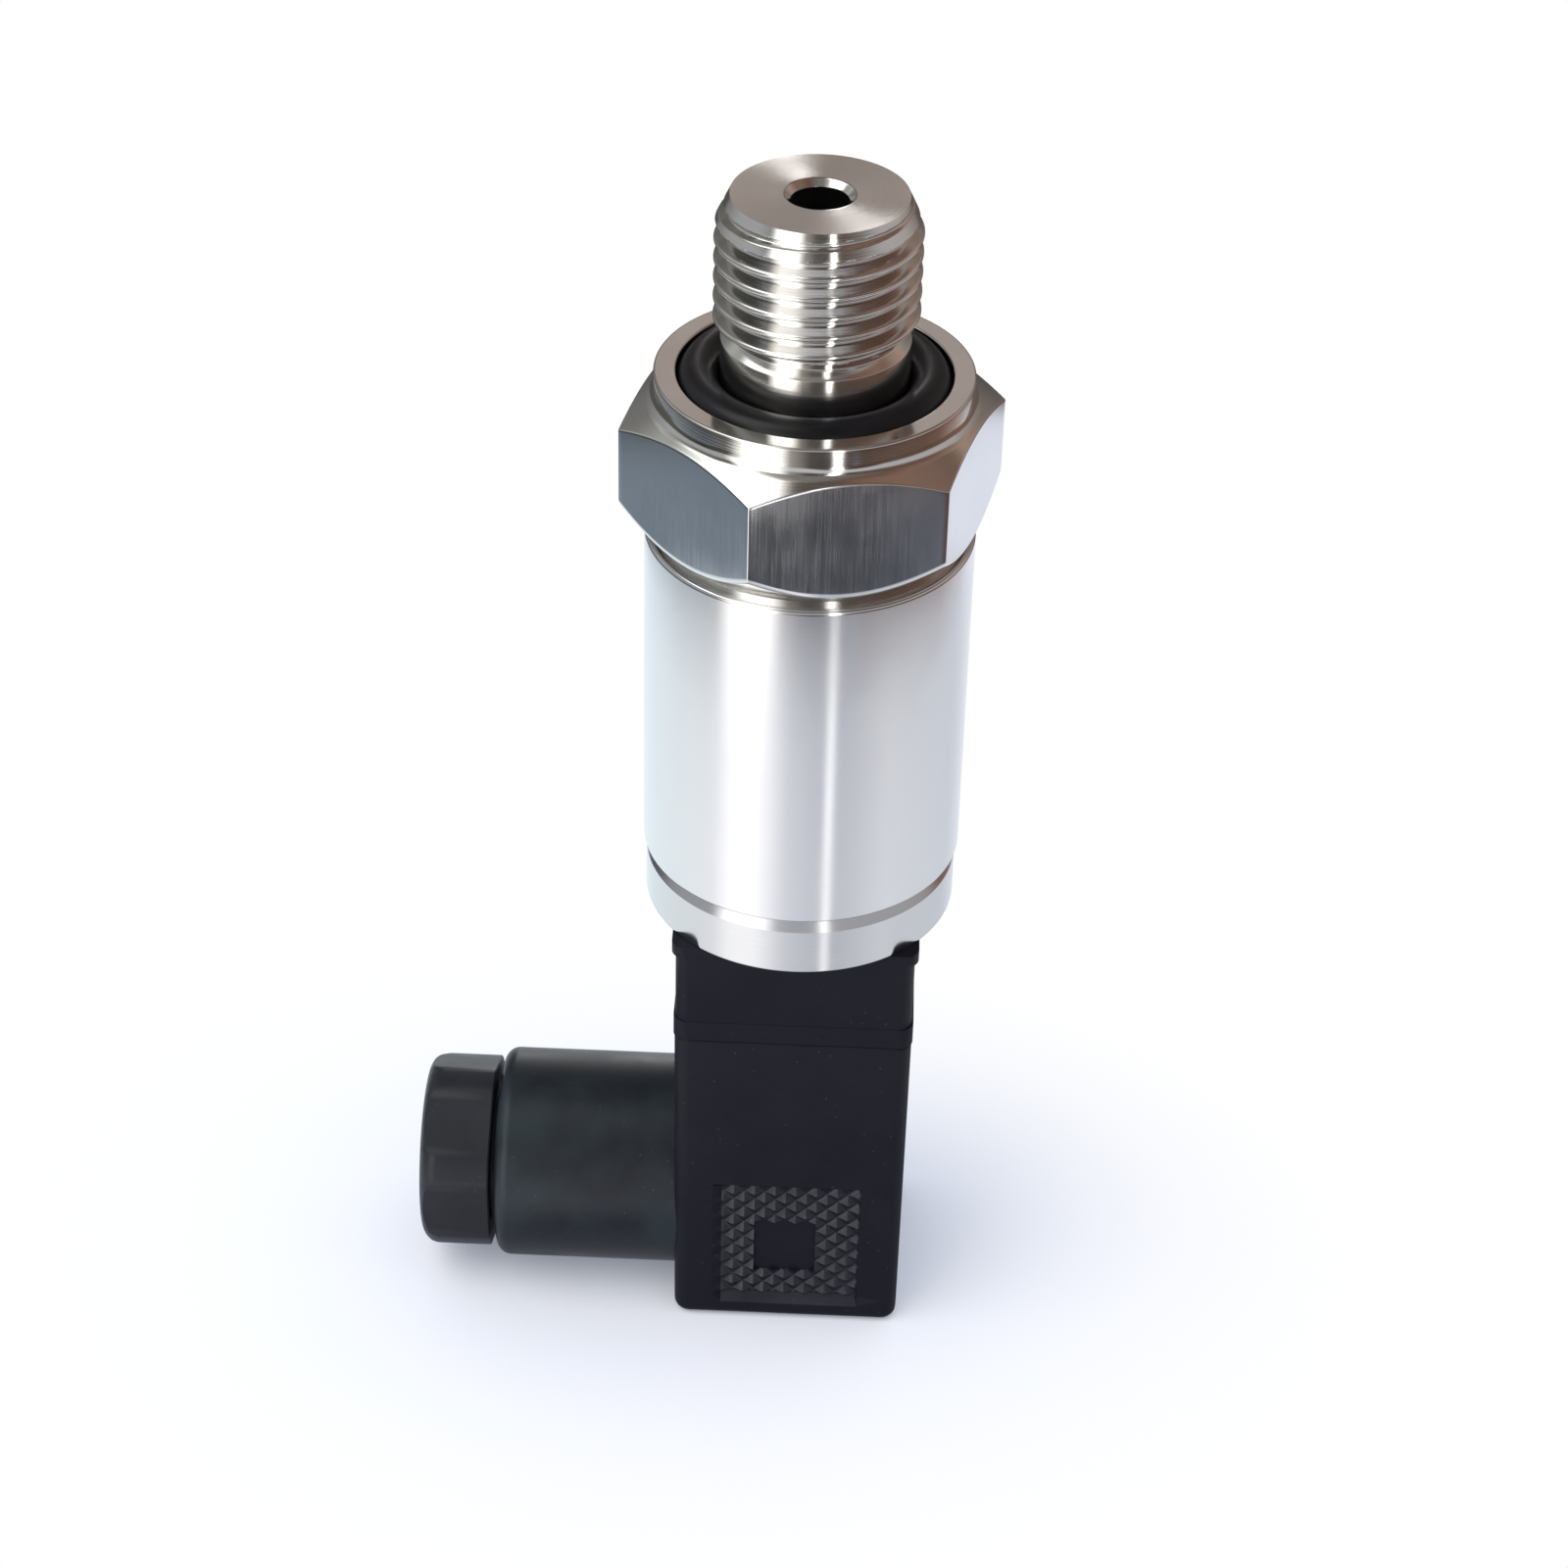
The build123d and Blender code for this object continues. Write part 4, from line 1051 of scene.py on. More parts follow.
@dataclass
class Plug:
    """Moulded plug housing with its gland tube and diamond grip panels."""

    height: float = 25.8
    half_width: float = 8.25
    draft: float = 0.3
    corner: float = 1.1
    foot_rounding: float = 0.8
    cavity_half: float = 7.0
    chamber_half: float = 6.3
    ledge_z: float = 13.5
    floor_z: float = 2.0
    boss_radius: float = 3.95
    boss_top_z: float = 7.0
    recess_radius: float = 2.95
    recess_depth: float = 5.4
    passage_radius: float = 1.63
    panel_x: tuple[float, float] = (-4.8, 5.15)
    panel_z: tuple[float, float] = (2.1, 12.6)
    panel_depth: float = 0.55
    slope_x: tuple[float, float] = (0.65, 0.15)
    slope_z: tuple[float, float] = (0.7, 0.1)
    window_x: tuple[float, float] = (-2.35, 2.05)
    window_z: tuple[float, float] = (4.4, 9.05)
    diamond: tuple[float, float] = (1.5, 1.44)
    diamond_rise: float = 0.45
    gland_z: float = 8.1
    tube_radius: float = 7.63
    tube_end: float = 21.3
    tube_rounding: float = 1.0
    tube_bore: float = 6.05
    grommet_bore: float = 5.6
    grommet_at: float = 8.9
    inner_bore: float = 4.5
    washer_at: float = 14.8
    window_edge: float = 0.02
    least_gap: float = 0.012
    peak_height: float = 1.04
    peak_softness: float = 0.012
    recess_chamfer: float = 0.15
    foot_border: float = 0.1
    least_corner: float = 0.2
    plain_heights: tuple[float, ...] = (13.4, 16.0, 20.0, 24.0)
    top_border: float = 0.2
    lip: float = 0.22
    lip_bend: float = 0.3
    cavity_corner: float = 0.7
    tube_start: float = 7.2
    cutter_start: float = 5.6
    mouth_chamfer: float = 0.3
    grip_band: float = 1.0
    sharp_degrees: float = 24.0
    columns: tuple[np.ndarray, np.ndarray, np.ndarray] = field(init=False, repr=False)

    def __post_init__(self) -> None:
        """Work out the columns once."""
        self.columns = self.outline()

    def lines(
        self,
        low: float,
        high: float,
        slopes: tuple[float, float],
        pitch: float,
        window: tuple[float, float],
    ) -> np.ndarray:
        """Grid lines across a panel: the diamonds' half pitches in quarters, the slopes and the window.

        Args:
            low: where the panel's floor begins.
            high: where it ends.
            slopes: width of the slope before and after it.
            pitch: width of a diamond.
            window: where the bare window begins and ends.

        Returns:
            The lines' places in order, none of them closer together than the least gap.
        """
        centre = (window[0] + window[1]) / 2
        step = pitch / 8
        first = math.ceil((low - centre) / step)
        last = math.floor((high - centre) / step)
        diamonds = centre + step * np.arange(first, last + 1)
        extra = [low, high, low - slopes[0], high + slopes[1]]
        extra += [value + side * self.window_edge for value in window for side in (-1, 1)]
        merged = np.sort(np.concatenate([diamonds, extra]))
        keep = np.concatenate([[True], np.diff(merged) > self.least_gap])
        return merged[keep]

    def panel_drop(self, across: np.ndarray, up: np.ndarray) -> np.ndarray:
        """How far the skin lies behind the face at a place on a panel.

        The floor lies panel_depth deep inside the panel and climbs linearly to the face over the
        slopes. On the floor each diamond is a pyramid, 1 - |x| / half pitch - |z| / half pitch high
        and a little softened at its top and ridges, except in the bare window.

        Args:
            across: places along X.
            up: places along Z.

        Returns:
            The drop at each place.
        """
        left = (across - self.panel_x[0] + self.slope_x[0]) / self.slope_x[0]
        right = (self.panel_x[1] + self.slope_x[1] - across) / self.slope_x[1]
        low = (up - self.panel_z[0] + self.slope_z[0]) / self.slope_z[0]
        high = (self.panel_z[1] + self.slope_z[1] - up) / self.slope_z[1]
        bowl = self.panel_depth * np.clip(np.minimum(np.minimum(left, right), np.minimum(low, high)), 0, 1)
        half_x, half_z = self.diamond[0] / 2, self.diamond[1] / 2
        u = (across - sum(self.window_x) / 2) / half_x
        v = (up - sum(self.window_z) / 2) / half_z
        along, against = (u + v) / 2, (u - v) / 2
        far = np.maximum(np.abs(along - np.round(along)), np.abs(against - np.round(against))) * 2
        peak = np.clip(self.peak_height - np.sqrt(far**2 + self.peak_softness), 0, 1)
        inside = within(across, self.panel_x) & within(up, self.panel_z)
        bare = within(across, self.window_x) & within(up, self.window_z)
        return bowl - np.where(inside & ~bare, self.diamond_rise * peak, 0)

    def outline(self) -> tuple[np.ndarray, np.ndarray, np.ndarray]:
        """Columns round the square.

        Returns:
            Place along each straight side in millimetres, the side's or arc's square corner
            direction, and the outward direction, each an array over the columns.
        """
        flat = self.half_width - self.corner
        across = self.lines(*self.panel_x, self.slope_x, self.diamond[0], self.window_x)
        plain = np.linspace(-flat, flat, 9)
        inner = np.concatenate([[-flat], across, [flat]])
        sides, squares, normals = [], [], []
        for turn in range(4):
            angle = turn * math.pi / 2
            out = np.array([math.sin(angle), -math.cos(angle)])
            run = np.array([math.cos(angle), math.sin(angle)])
            stretch = inner if turn == 0 else -inner[::-1] if turn == 2 else plain
            sides.append(stretch[:, None] * run)
            squares.append(np.broadcast_to(out, (len(stretch), 2)))
            normals.append(np.broadcast_to(out, (len(stretch), 2)))
            for share in np.linspace(0, 1, 7)[1:-1]:
                bend = angle + share * math.pi / 2
                sides.append((run * flat)[None, :])
                squares.append(out[None, :])
                normals.append(np.array([[math.sin(bend), -math.cos(bend)]]))
        return np.concatenate(sides), np.concatenate(squares), np.concatenate(normals)

    def ring_at(self, half: float, corner: float, z: float) -> np.ndarray:
        """One row: a rounded square of some half width and corner radius at a height.

        A point is its square part scaled to (half - corner), plus corner times its normal.
        """
        sides, squares, normals = self.columns
        flat = self.half_width - self.corner
        scale = (half - corner) / flat
        clipped = np.clip(sides * max(scale, 1.0), -flat, flat) if scale > 1 else sides * scale
        core = clipped + squares * (half - corner)
        return np.column_stack([core + normals * corner, np.full(len(core), z)])

    def round_at(self, radius: float, z: float) -> np.ndarray:
        """One round row at a height."""
        return self.ring_at(radius, radius, z)

    def side_half(self, z: float) -> float:
        """Half width of the drafted block at a height."""
        return self.half_width - (self.height - z) * math.tan(math.radians(self.draft))

    def block(self) -> bpy.types.Object:
        """Hollow block as one closed grid, with the panels pressed into its front and back."""
        foot = self.side_half(0)
        foot_corner = max(self.corner - self.foot_rounding, self.least_corner)
        rows = [
            self.round_at(self.passage_radius, self.boss_top_z),
            self.round_at(self.passage_radius, self.recess_depth),
            self.round_at(self.recess_radius, self.recess_depth),
            self.round_at(self.recess_radius, self.recess_chamfer),
            self.round_at(self.recess_radius + self.recess_chamfer, 0.0),
            self.ring_at(foot - self.foot_rounding - self.foot_border, foot_corner, 0.0),
        ]
        for share in np.linspace(0, 1, 7):
            angle = share * math.pi / 2
            inset = self.foot_rounding * (1 - math.sin(angle))
            rise = self.foot_rounding * (1 - math.cos(angle))
            rows.append(self.ring_at(foot - inset, max(self.corner - inset, self.least_corner), rise))
        heights = self.lines(*self.panel_z, self.slope_z, self.diamond[1], self.window_z)
        first_side = len(rows)
        sides = [h for h in heights if h > self.foot_rounding + self.foot_border]
        sides += [*self.plain_heights, self.height - self.top_border]
        rows += [self.ring_at(self.side_half(z), self.corner, z) for z in sides]
        last_side = len(rows)
        bend = self.lip * self.lip_bend
        rows += [
            self.ring_at(self.half_width - bend, self.corner, self.height - bend),
            self.ring_at(self.half_width - self.lip, self.corner - self.lip, self.height),
            self.ring_at(self.cavity_half, self.cavity_corner, self.height),
            self.ring_at(self.cavity_half, self.cavity_corner, self.ledge_z),
            self.ring_at(self.chamber_half, self.cavity_corner, self.ledge_z),
            self.ring_at(self.chamber_half, self.cavity_corner, self.floor_z),
            self.round_at(self.boss_radius, self.floor_z),
            self.round_at(self.boss_radius, self.boss_top_z),
        ]
        points = np.array(rows)
        normals = self.columns[2]
        skin = points[first_side:last_side]
        across, up = skin[..., 0], skin[..., 2]
        facing = normals[:, 1] * (np.abs(normals[:, 0]) < 1e-6)
        skin[..., 1] -= facing * self.panel_drop(across, up)
        return self.triangulated(points)

    def triangulated(self, points: np.ndarray) -> bpy.types.Object:
        """Split each quad along the diagonal that follows the diamonds' valleys."""
        quads = grid_quads(points.shape[0], points.shape[1], True, True)
        flat = points.reshape(-1, 3)
        middle = flat[quads].mean(axis=2)
        u = np.floor((middle[..., 0] - sum(self.window_x) / 2) / (self.diamond[0] / 2))
        v = np.floor((middle[..., 2] - sum(self.window_z) / 2) / (self.diamond[1] / 2))
        forward = ((u + v) % 2 == 1) ^ (middle[..., 1] > 0)
        a, b, c, d = np.moveaxis(quads, -1, 0)
        first = np.where(forward[..., None], np.stack([a, b, c], -1), np.stack([a, b, d], -1))
        second = np.where(forward[..., None], np.stack([a, c, d], -1), np.stack([b, c, d], -1))
        faces = np.concatenate([first.reshape(-1, 3), second.reshape(-1, 3)])
        return make_object("plug_shell", flat, faces, sharp_degrees=self.sharp_degrees)

    def gland_tube(self) -> bpy.types.Object:
        """Solid blank of the gland tube, its outer rim rounded."""
        tube = lathe(
            "gland_tube_blank",
            [
                Corner(0.0, self.tube_start),
                Corner(self.tube_radius, self.tube_start),
                Corner(self.tube_radius, self.tube_end, self.tube_rounding, steps=8),
                Corner(0.0, self.tube_end),
            ],
            144,
            closed=False,
        )
        return on_gland(tube, self.gland_z)

    def gland_bores(self) -> bpy.types.Object:
        """Stepped cutter for the gland: nut thread, grommet seat and the hole to the chamber."""
        mouth = self.tube_bore + self.mouth_chamfer
        beyond = self.tube_end + 1
        cutter = lathe(
            "gland_cutter",
            [
                Corner(0.0, self.cutter_start),
                Corner(self.inner_bore, self.cutter_start),
                Corner(self.inner_bore, self.grommet_at),
                Corner(self.grommet_bore, self.grommet_at),
                Corner(self.grommet_bore, self.washer_at),
                Corner(self.tube_bore, self.washer_at),
                Corner(self.tube_bore, self.tube_end - self.mouth_chamfer),
                Corner(mouth, self.tube_end),
                Corner(mouth, beyond),
                Corner(0.0, beyond),
            ],
            96,
            closed=False,
        )
        return on_gland(cutter, self.gland_z)

    def build(self, finishes: Finishes) -> bpy.types.Object:
        """Join block and tube, cut the bores and dress block, tube and grips."""
        piece = self.block()
        cut(piece, [self.gland_tube()], "UNION")
        cut(piece, [self.gland_bores()], "DIFFERENCE")
        clean(piece.data, self.sharp_degrees)
        piece.data.materials.clear()
        for name in ("plug_plastic", "gland_tube_plastic", "grip_plastic_painted_lit"):
            piece.data.materials.append(finishes[name])
        centres = np.zeros(len(piece.data.polygons) * 3)
        piece.data.polygons.foreach_get("center", centres)
        x, y, z = centres.reshape(-1, 3).T / MM
        on_tube = x < -(self.half_width + CLOSE)
        # The lighter grip finish goes on the diamonds and the bottom ledge, not on the side and top slopes or
        # the window: painted light on the faces that turn up.
        on_grip = (np.abs(y) > self.half_width - self.grip_band) & within(x, self.panel_x)
        on_grip &= within(z, (self.panel_z[0] - self.slope_z[0], self.panel_z[1]))
        bare = within(x, self.window_x) & within(z, self.window_z)
        slots = np.where(on_tube, 1, np.where(on_grip & ~bare, 2, 0))
        piece.data.polygons.foreach_set("material_index", slots.astype(np.int32))
        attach(piece, "plug")
        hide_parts("plug_housing")
        return piece


@dataclass
class Gland:
    """Gland nut with its threaded shank."""

    axis_z: float = 8.1
    head_at: float = 21.7
    head_length: float = 5.1
    head_radius: float = 7.05
    apothem: float = 6.535
    turn: float = -3.5
    rim_rounding: float = 1.3
    shank_end: float = 15.7
    shank_radius: float = 5.98
    bore: float = 3.5
    thread: ThreadForm = ThreadForm(pitch=1.5, half_angle=30.0, rounding=0.16)
    head_edge: float = 0.1
    plain_start: float = 0.4
    plain_end: float = 0.8
    relief_depth: float = 0.9
    relief_length: float = 0.6
    run_out: float = 0.9
    row_step: float = 0.06
    mouth_flare: float = 0.65
    mouth_rounding: float = 0.1

    def angles(self) -> np.ndarray:
        """Columns that follow the six flats and the round corners between them."""
        half_flat = math.acos(self.apothem / self.head_radius)
        breaks = (-half_flat, half_flat, SIXTH - half_flat)
        return sector_angles(breaks, (12, 6), math.radians(self.turn + 30))

    def head_rows(self, angles: np.ndarray) -> np.ndarray:
        """Rows over the head.

        The head is a cylinder with a rounded rim, cut by six flats: its radius is the smaller of
        the two, and on a flat the rim's arc starts where the arc crosses the flat.
        """
        off_normal = (angles - math.radians(self.turn + 30) + SIXTH / 2) % SIXTH - SIXTH / 2
        radius = np.minimum(self.apothem / np.cos(off_normal), self.head_radius)
        end = self.head_at + self.head_length
        centre = self.head_radius - self.rim_rounding
        start = np.arccos(np.clip((radius - centre) / self.rim_rounding, -1, 1))
        rows = [
            np.stack([radius - self.head_edge, np.full_like(radius, self.head_at)], -1),
            np.stack([radius, np.full_like(radius, self.head_at + self.head_edge)], -1),
        ]
        level = end - self.rim_rounding
        for share in np.linspace(0, 1, 9):
            angle = start + share * (math.pi / 2 - start)
            out = centre + self.rim_rounding * np.cos(angle)
            along = level + self.rim_rounding * np.sin(angle)
            rows.append(np.stack([out, along], -1))
        return np.array(rows)

    def build(self, finishes: Finishes) -> bpy.types.Object:
        """Make the nut: shank, head, rim and bore as one closed grid."""
        angles = self.angles()
        columns = len(angles)
        heights = np.arange(self.shank_end + self.plain_start, self.head_at - self.plain_end, self.row_step)
        root = self.shank_radius - self.relief_depth
        ends = np.minimum(self.shank_radius, root + (heights - self.shank_end))
        ends = np.minimum(ends, root + (self.head_at - heights) * self.run_out)
        shank = threaded_rows(self.thread, self.shank_radius, heights, angles, ends)
        start = profile_rows(
            [Corner(self.bore, self.shank_end), Corner(root, self.shank_end)], columns, False
        )
        relief = profile_rows(
            [Corner(root, self.head_at - self.relief_length), Corner(root, self.head_at)], columns, False
        )
        end = self.head_at + self.head_length
        mouth = profile_rows(
            [
                Corner(self.bore + self.mouth_flare + self.head_edge, end),
                Corner(self.bore + self.mouth_flare, end, self.mouth_rounding),
                Corner(self.bore, end - self.mouth_flare, self.mouth_rounding),
                Corner(self.bore, self.shank_end + self.head_edge),
            ],
            columns,
            False,
        )
        rows = np.concatenate([start, shank, relief, self.head_rows(angles), mouth])
        piece = on_gland(turned_object("gland_nut_moulding", rows, angles), self.axis_z)
        piece.data.materials.append(finishes["gland_plastic"])
        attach(piece, "gland_nut")
        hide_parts("gland_nut")
        return piece


@dataclass
class Screw:
    """Slotted fixing screw with its thread."""

    head_z: float = 2.8
    head_top_z: float = 4.8
    head_radius: float = 2.75
    radius: float = 1.48
    tip_z: float = 30.7
    thread_length: float = 9.0
    slot: tuple[float, float] = (0.8, 1.0)
    slot_length: float = 8.0
    thread: ThreadForm = ThreadForm(pitch=0.5, half_angle=30.0, rounding=0.05)
    row_step: float = 0.03
    tip_drop: float = 0.35
    tip_inset: float = 0.4
    head_rounding: float = 0.3
    head_edge_rounding: float = 0.06
    columns: int = 72

    def build(self, finishes: Finishes) -> bpy.types.Object:
        """Make the screw and cut its slot."""
        angles = even_angles(self.columns)
        start = self.tip_z - self.thread_length
        heights = np.arange(start + CLOSE, self.tip_z - CLOSE, self.row_step)
        envelope = np.minimum(self.radius, self.radius - self.tip_drop + (self.tip_z - heights))
        head = profile_rows(
            [
                Corner(0.0, self.head_z),
                Corner(self.head_radius, self.head_z, self.head_rounding),
                Corner(self.head_radius, self.head_top_z, self.head_edge_rounding),
                Corner(self.radius, self.head_top_z),
                Corner(self.radius, start),
            ],
            self.columns,
            False,
        )
        point = [Corner(self.radius - self.tip_inset, self.tip_z), Corner(0.0, self.tip_z)]
        tip = profile_rows(point, self.columns, False)
        thread = threaded_rows(self.thread, self.radius, heights, angles, envelope)
        piece = turned_object("plug_fixing_screw", np.concatenate([head, thread, tip]), angles, False)
        width, depth = self.slot
        cube = bmesh.new()
        bmesh.ops.create_cube(cube, size=1.0)
        mesh = bpy.data.meshes.new("slot")
        cube.to_mesh(mesh)
        cube.free()
        size = (width * MM, self.slot_length * MM, 2 * depth * MM)
        mesh.transform(Matrix.Translation((0, 0, self.head_z * MM)) @ Matrix.Diagonal((*size, 1.0)))
        cut(piece, [placed("slot", mesh)], "DIFFERENCE")
        clean(piece.data, SHARP_DEGREES)
        piece.data.materials.clear()
        piece.data.materials.append(finishes["zinc_steel"])
        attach(piece, "fixing_screw")
        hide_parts("fixing_screw")
        return piece


class CarriedOver:
    """Pieces whose CAD form is right: some get broken edges, and all get their finish.

    A softened piece has its finish, body, material slot and bevel width. The gasket is drawn in along
    Y by GASKET_FLUSH, so that its front and back lie just behind the plug's.
    """

    SOFTENED = {
        "connector_base": ("base_plastic", "transmitter", "base_plastic", 0.05),
        "face_gasket": ("gasket_rubber", "transmitter", "gasket_rubber", 0.03),
        "contact_carrier": ("carrier_plastic", "plug", "carrier_plastic", 0.12),
        "gland_washer": ("zinc_steel", "gland_washer", "zinc_steel", 0.05),
        "cable_grommet": ("seal_rubber", "plug", "soft_rubber", 0.1),
    }
    GASKET_FLUSH = 0.987
    KEPT = {
        "terminal_screws": "zinc_steel",
        "screw_washer": "seal_rubber",
        "screw_insert": "contact_brass",
        "base_o_ring": "seal_rubber",
        "sensing_capsule": "ring_steel",
        "capsule_o_ring": "seal_rubber",
        "capsule_retainer": "zinc_steel",
        "sensor_pins": "contact_tin",
        "board_spacer": "carrier_plastic",
        "sensor_board": "circuit_board",
        "main_board": "circuit_board",
        "board_components": "gasket_rubber",
        "lead_wires": "wire_jacket",
    }

    def build(self, finishes: Finishes) -> None:
        """Dress every node that isn't made anew."""
        for node, (finish, body, slot, width) in self.SOFTENED.items():
            piece = softened_copy(node, width)
            if node == "face_gasket":
                piece.data.transform(Matrix.Diagonal((1.0, self.GASKET_FLUSH, 1.0, 1.0)))
            piece.data.materials.clear()
            piece.data.materials.append(finishes[finish])
            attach(piece, body)
            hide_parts(node)
        for contact in ("1", "2", "3", "earth"):
            self.dress("socket_contact_" + contact, finishes["contact_brass"])
            self.dress("contact_blade_" + contact, finishes["contact_tin"])
        for node, finish in self.KEPT.items():
            self.dress(node, finishes[finish])

    @staticmethod
    def dress(node: str, material: bpy.types.Material) -> None:
        """Give a CAD node its finish."""
        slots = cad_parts[node].material_slots
        for slot in slots:
            slot.material = material


# Stage


WHITE = (1.0, 1.0, 1.0)


@dataclass(frozen=True)
class Band:
    """What the metal mirrors in one direction round the object.

    Args:
        azimuth: degrees from the front towards +X.
        colour: radiance there.
        until: azimuth up to which the colour holds, if it holds over a stretch.
    """

    azimuth: float
    colour: Colour
    until: float | None = None


@dataclass(frozen=True)
class Level:
    """One ring of the surroundings.

    Args:
        bands: what it shows all round, in order of azimuth from -180 degrees.
        starts: where it begins to take over from the level before it and where it has done so,
            as distances in metres on the floor and as sines of the elevation in the sky.
    """

    bands: tuple[Band, ...]
    starts: tuple[float, float] = (0.0, 0.0)

    def stops(self) -> list[tuple[float, Colour]]:
        """Azimuths and colours all round: both ends of a held band, and the first band again at 180."""
        stops: list[tuple[float, Colour]] = []
        for band in self.bands:
            stops.append((band.azimuth, band.colour))
            if band.until is not None:
                stops.append((band.until, band.colour))
        return [*stops, (180, self.bands[0].colour)]


@dataclass(frozen=True)
class Room:
    """The surroundings that reflections show, as levels of bands round the object.

    Args:
        floor: levels from the object outward.
        sky: levels from the horizon up.
    """

    floor: tuple[Level, ...]
    sky: tuple[Level, ...]

    @staticmethod
    def ramp(nodes: Nodes, turn: bpy.types.NodeSocket, level: Level) -> bpy.types.NodeSocket:
        """Colour ramp over a full turn, its ends alike: a new ramp has its two ends already."""
        node = nodes.add("ShaderNodeValToRGB")
        nodes.feed(node, 0, turn)
        elements = node.color_ramp.elements
        stops = level.stops()
        for azimuth, _ in stops[1:-1]:
            elements.new(azimuth / 360 + 0.5)
        for element, (_, colour) in zip(elements, stops):
            element.color = (*colour, 1.0)
        return node.outputs[0]

    def group(self) -> bpy.types.NodeTree:
        """Node group that gives the colours of floor and sky for a direction from the object."""
        tree, nodes, sockets = new_group(
            "mirrored_room", {"Direction": VECTOR}, {"Floor": COLOUR, "Sky": COLOUR}
        )
        x, y, z = nodes.split(sockets["Direction"])
        turn = nodes.math("ARCTAN2", x, nodes.math("MULTIPLY", y, -1.0))
        turn = nodes.math("ADD", nodes.math("DIVIDE", turn, TAU), 0.5)
        distance = nodes.length(nodes.join(x, y, 0.0))
        for name, place, levels in (("Floor", distance, self.floor), ("Sky", z, self.sky)):
            colour = self.ramp(nodes, turn, levels[0])
            for level in levels[1:]:
                share = nodes.spread(place, level.starts, smooth=True)
                colour = nodes.mix(share, colour, self.ramp(nodes, turn, level))
            nodes.feed(sockets["out"], name, colour)
        return tree


SHADED_TABLE = Level((Band(-180, (0.36, 0.37, 0.42)),))
NEAR_TABLE = Level(
    (
        Band(-180, (0.95, 1.0, 1.05)),
        Band(-138, (0.92, 1.05, 1.10)),
        Band(-76, (1.0, 1.05, 1.08)),
        Band(-60, (1.04, 1.06, 1.10)),
        Band(-47, (1.36, 1.36, 1.37), until=-29),
        Band(-19, (1.12, 1.13, 1.17)),
        Band(-8, (0.84, 0.86, 0.93)),
        Band(15, (0.68, 0.70, 0.76)),
        Band(17.8, (1.4, 1.42, 1.45), until=20.2),
        Band(23, (0.66, 0.68, 0.74)),
        Band(60, (0.86, 0.88, 0.93)),
        Band(124, (0.74, 0.78, 0.85)),
    ),
    (0.022, 0.046),
)
TABLE_EDGE = Level(
    (
        Band(-180, (0.95, 1.0, 1.05)),
        Band(-140, (0.50, 0.54, 0.60)),
        Band(-112, (0.38, 0.44, 0.50)),
        Band(-93, (0.24, 0.29, 0.34)),
        Band(-76, (0.22, 0.26, 0.32)),
        Band(-62, (0.3, 0.3, 0.3)),
        Band(-48, (2.0, 2.0, 1.95), until=-28),
        Band(-15, (0.4, 0.38, 0.38)),
        Band(-2, (0.10, 0.095, 0.09)),
        Band(12, (0.05, 0.052, 0.06)),
        Band(20, (0.05, 0.053, 0.06)),
        Band(27, (0.07, 0.072, 0.085)),
        Band(31, (0.20, 0.215, 0.26)),
        Band(36, (0.12, 0.08, 0.065)),
        Band(60, (0.12, 0.075, 0.055)),
        Band(100, (0.22, 0.13, 0.10)),
        Band(126, (0.7, 0.66, 0.66)),
        Band(136, (0.95, 0.98, 1.08), until=160),
    ),
    (0.102, 0.112),
)
BEYOND_TABLE = Level(
    (
        Band(-180, (0.10, 0.09, 0.08)),
        Band(-146, (0.09, 0.085, 0.08)),
        Band(-109, (0.10, 0.10, 0.09)),
        Band(-80, (0.05, 0.05, 0.05)),
        Band(-57, (0.10, 0.10, 0.09)),
        Band(-48, (1.2, 1.2, 1.1)),
        Band(-43, (2.6, 2.6, 2.5)),
        Band(-26, (3.0, 3.0, 2.9)),
        Band(-14, (0.42, 0.38, 0.34)),
        Band(0, (0.10, 0.085, 0.075)),
        Band(14.5, (0.08, 0.065, 0.055)),
        Band(16.5, (4.5, 4.4, 4.3), until=20),
        Band(22.5, (0.09, 0.06, 0.05)),
        Band(36, (0.085, 0.052, 0.042)),
        Band(60, (0.13, 0.08, 0.06)),
        Band(86, (0.13, 0.075, 0.055)),
        Band(122, (0.24, 0.13, 0.095)),
        Band(150, (0.14, 0.10, 0.085)),
    ),
    (0.134, 0.138),
)
LOW_SKY = Level(
    (
        Band(-180, (0.08, 0.075, 0.07), until=-178.2),
        Band(-177.6, (10.0, 9.9, 9.8), until=-176.0),
        Band(-175.4, (0.08, 0.075, 0.07)),
        Band(-162, (0.12, 0.12, 0.11)),
        Band(-140, (0.22, 0.22, 0.23)),
        Band(-110, (0.40, 0.41, 0.43)),
        Band(-60, (0.45, 0.46, 0.48)),
        Band(-48, (2.0, 2.0, 2.0), until=-26),
        Band(-14, (0.62, 0.63, 0.66)),
        Band(15, (0.55, 0.56, 0.60)),
        Band(17.5, (2.0, 2.0, 2.0), until=20),
        Band(23, (0.52, 0.53, 0.56)),
        Band(60, (0.48, 0.48, 0.50)),
        Band(110, (0.46, 0.43, 0.42)),
        Band(145, (0.24, 0.20, 0.18)),
        Band(165, (0.10, 0.095, 0.09)),
    )
)
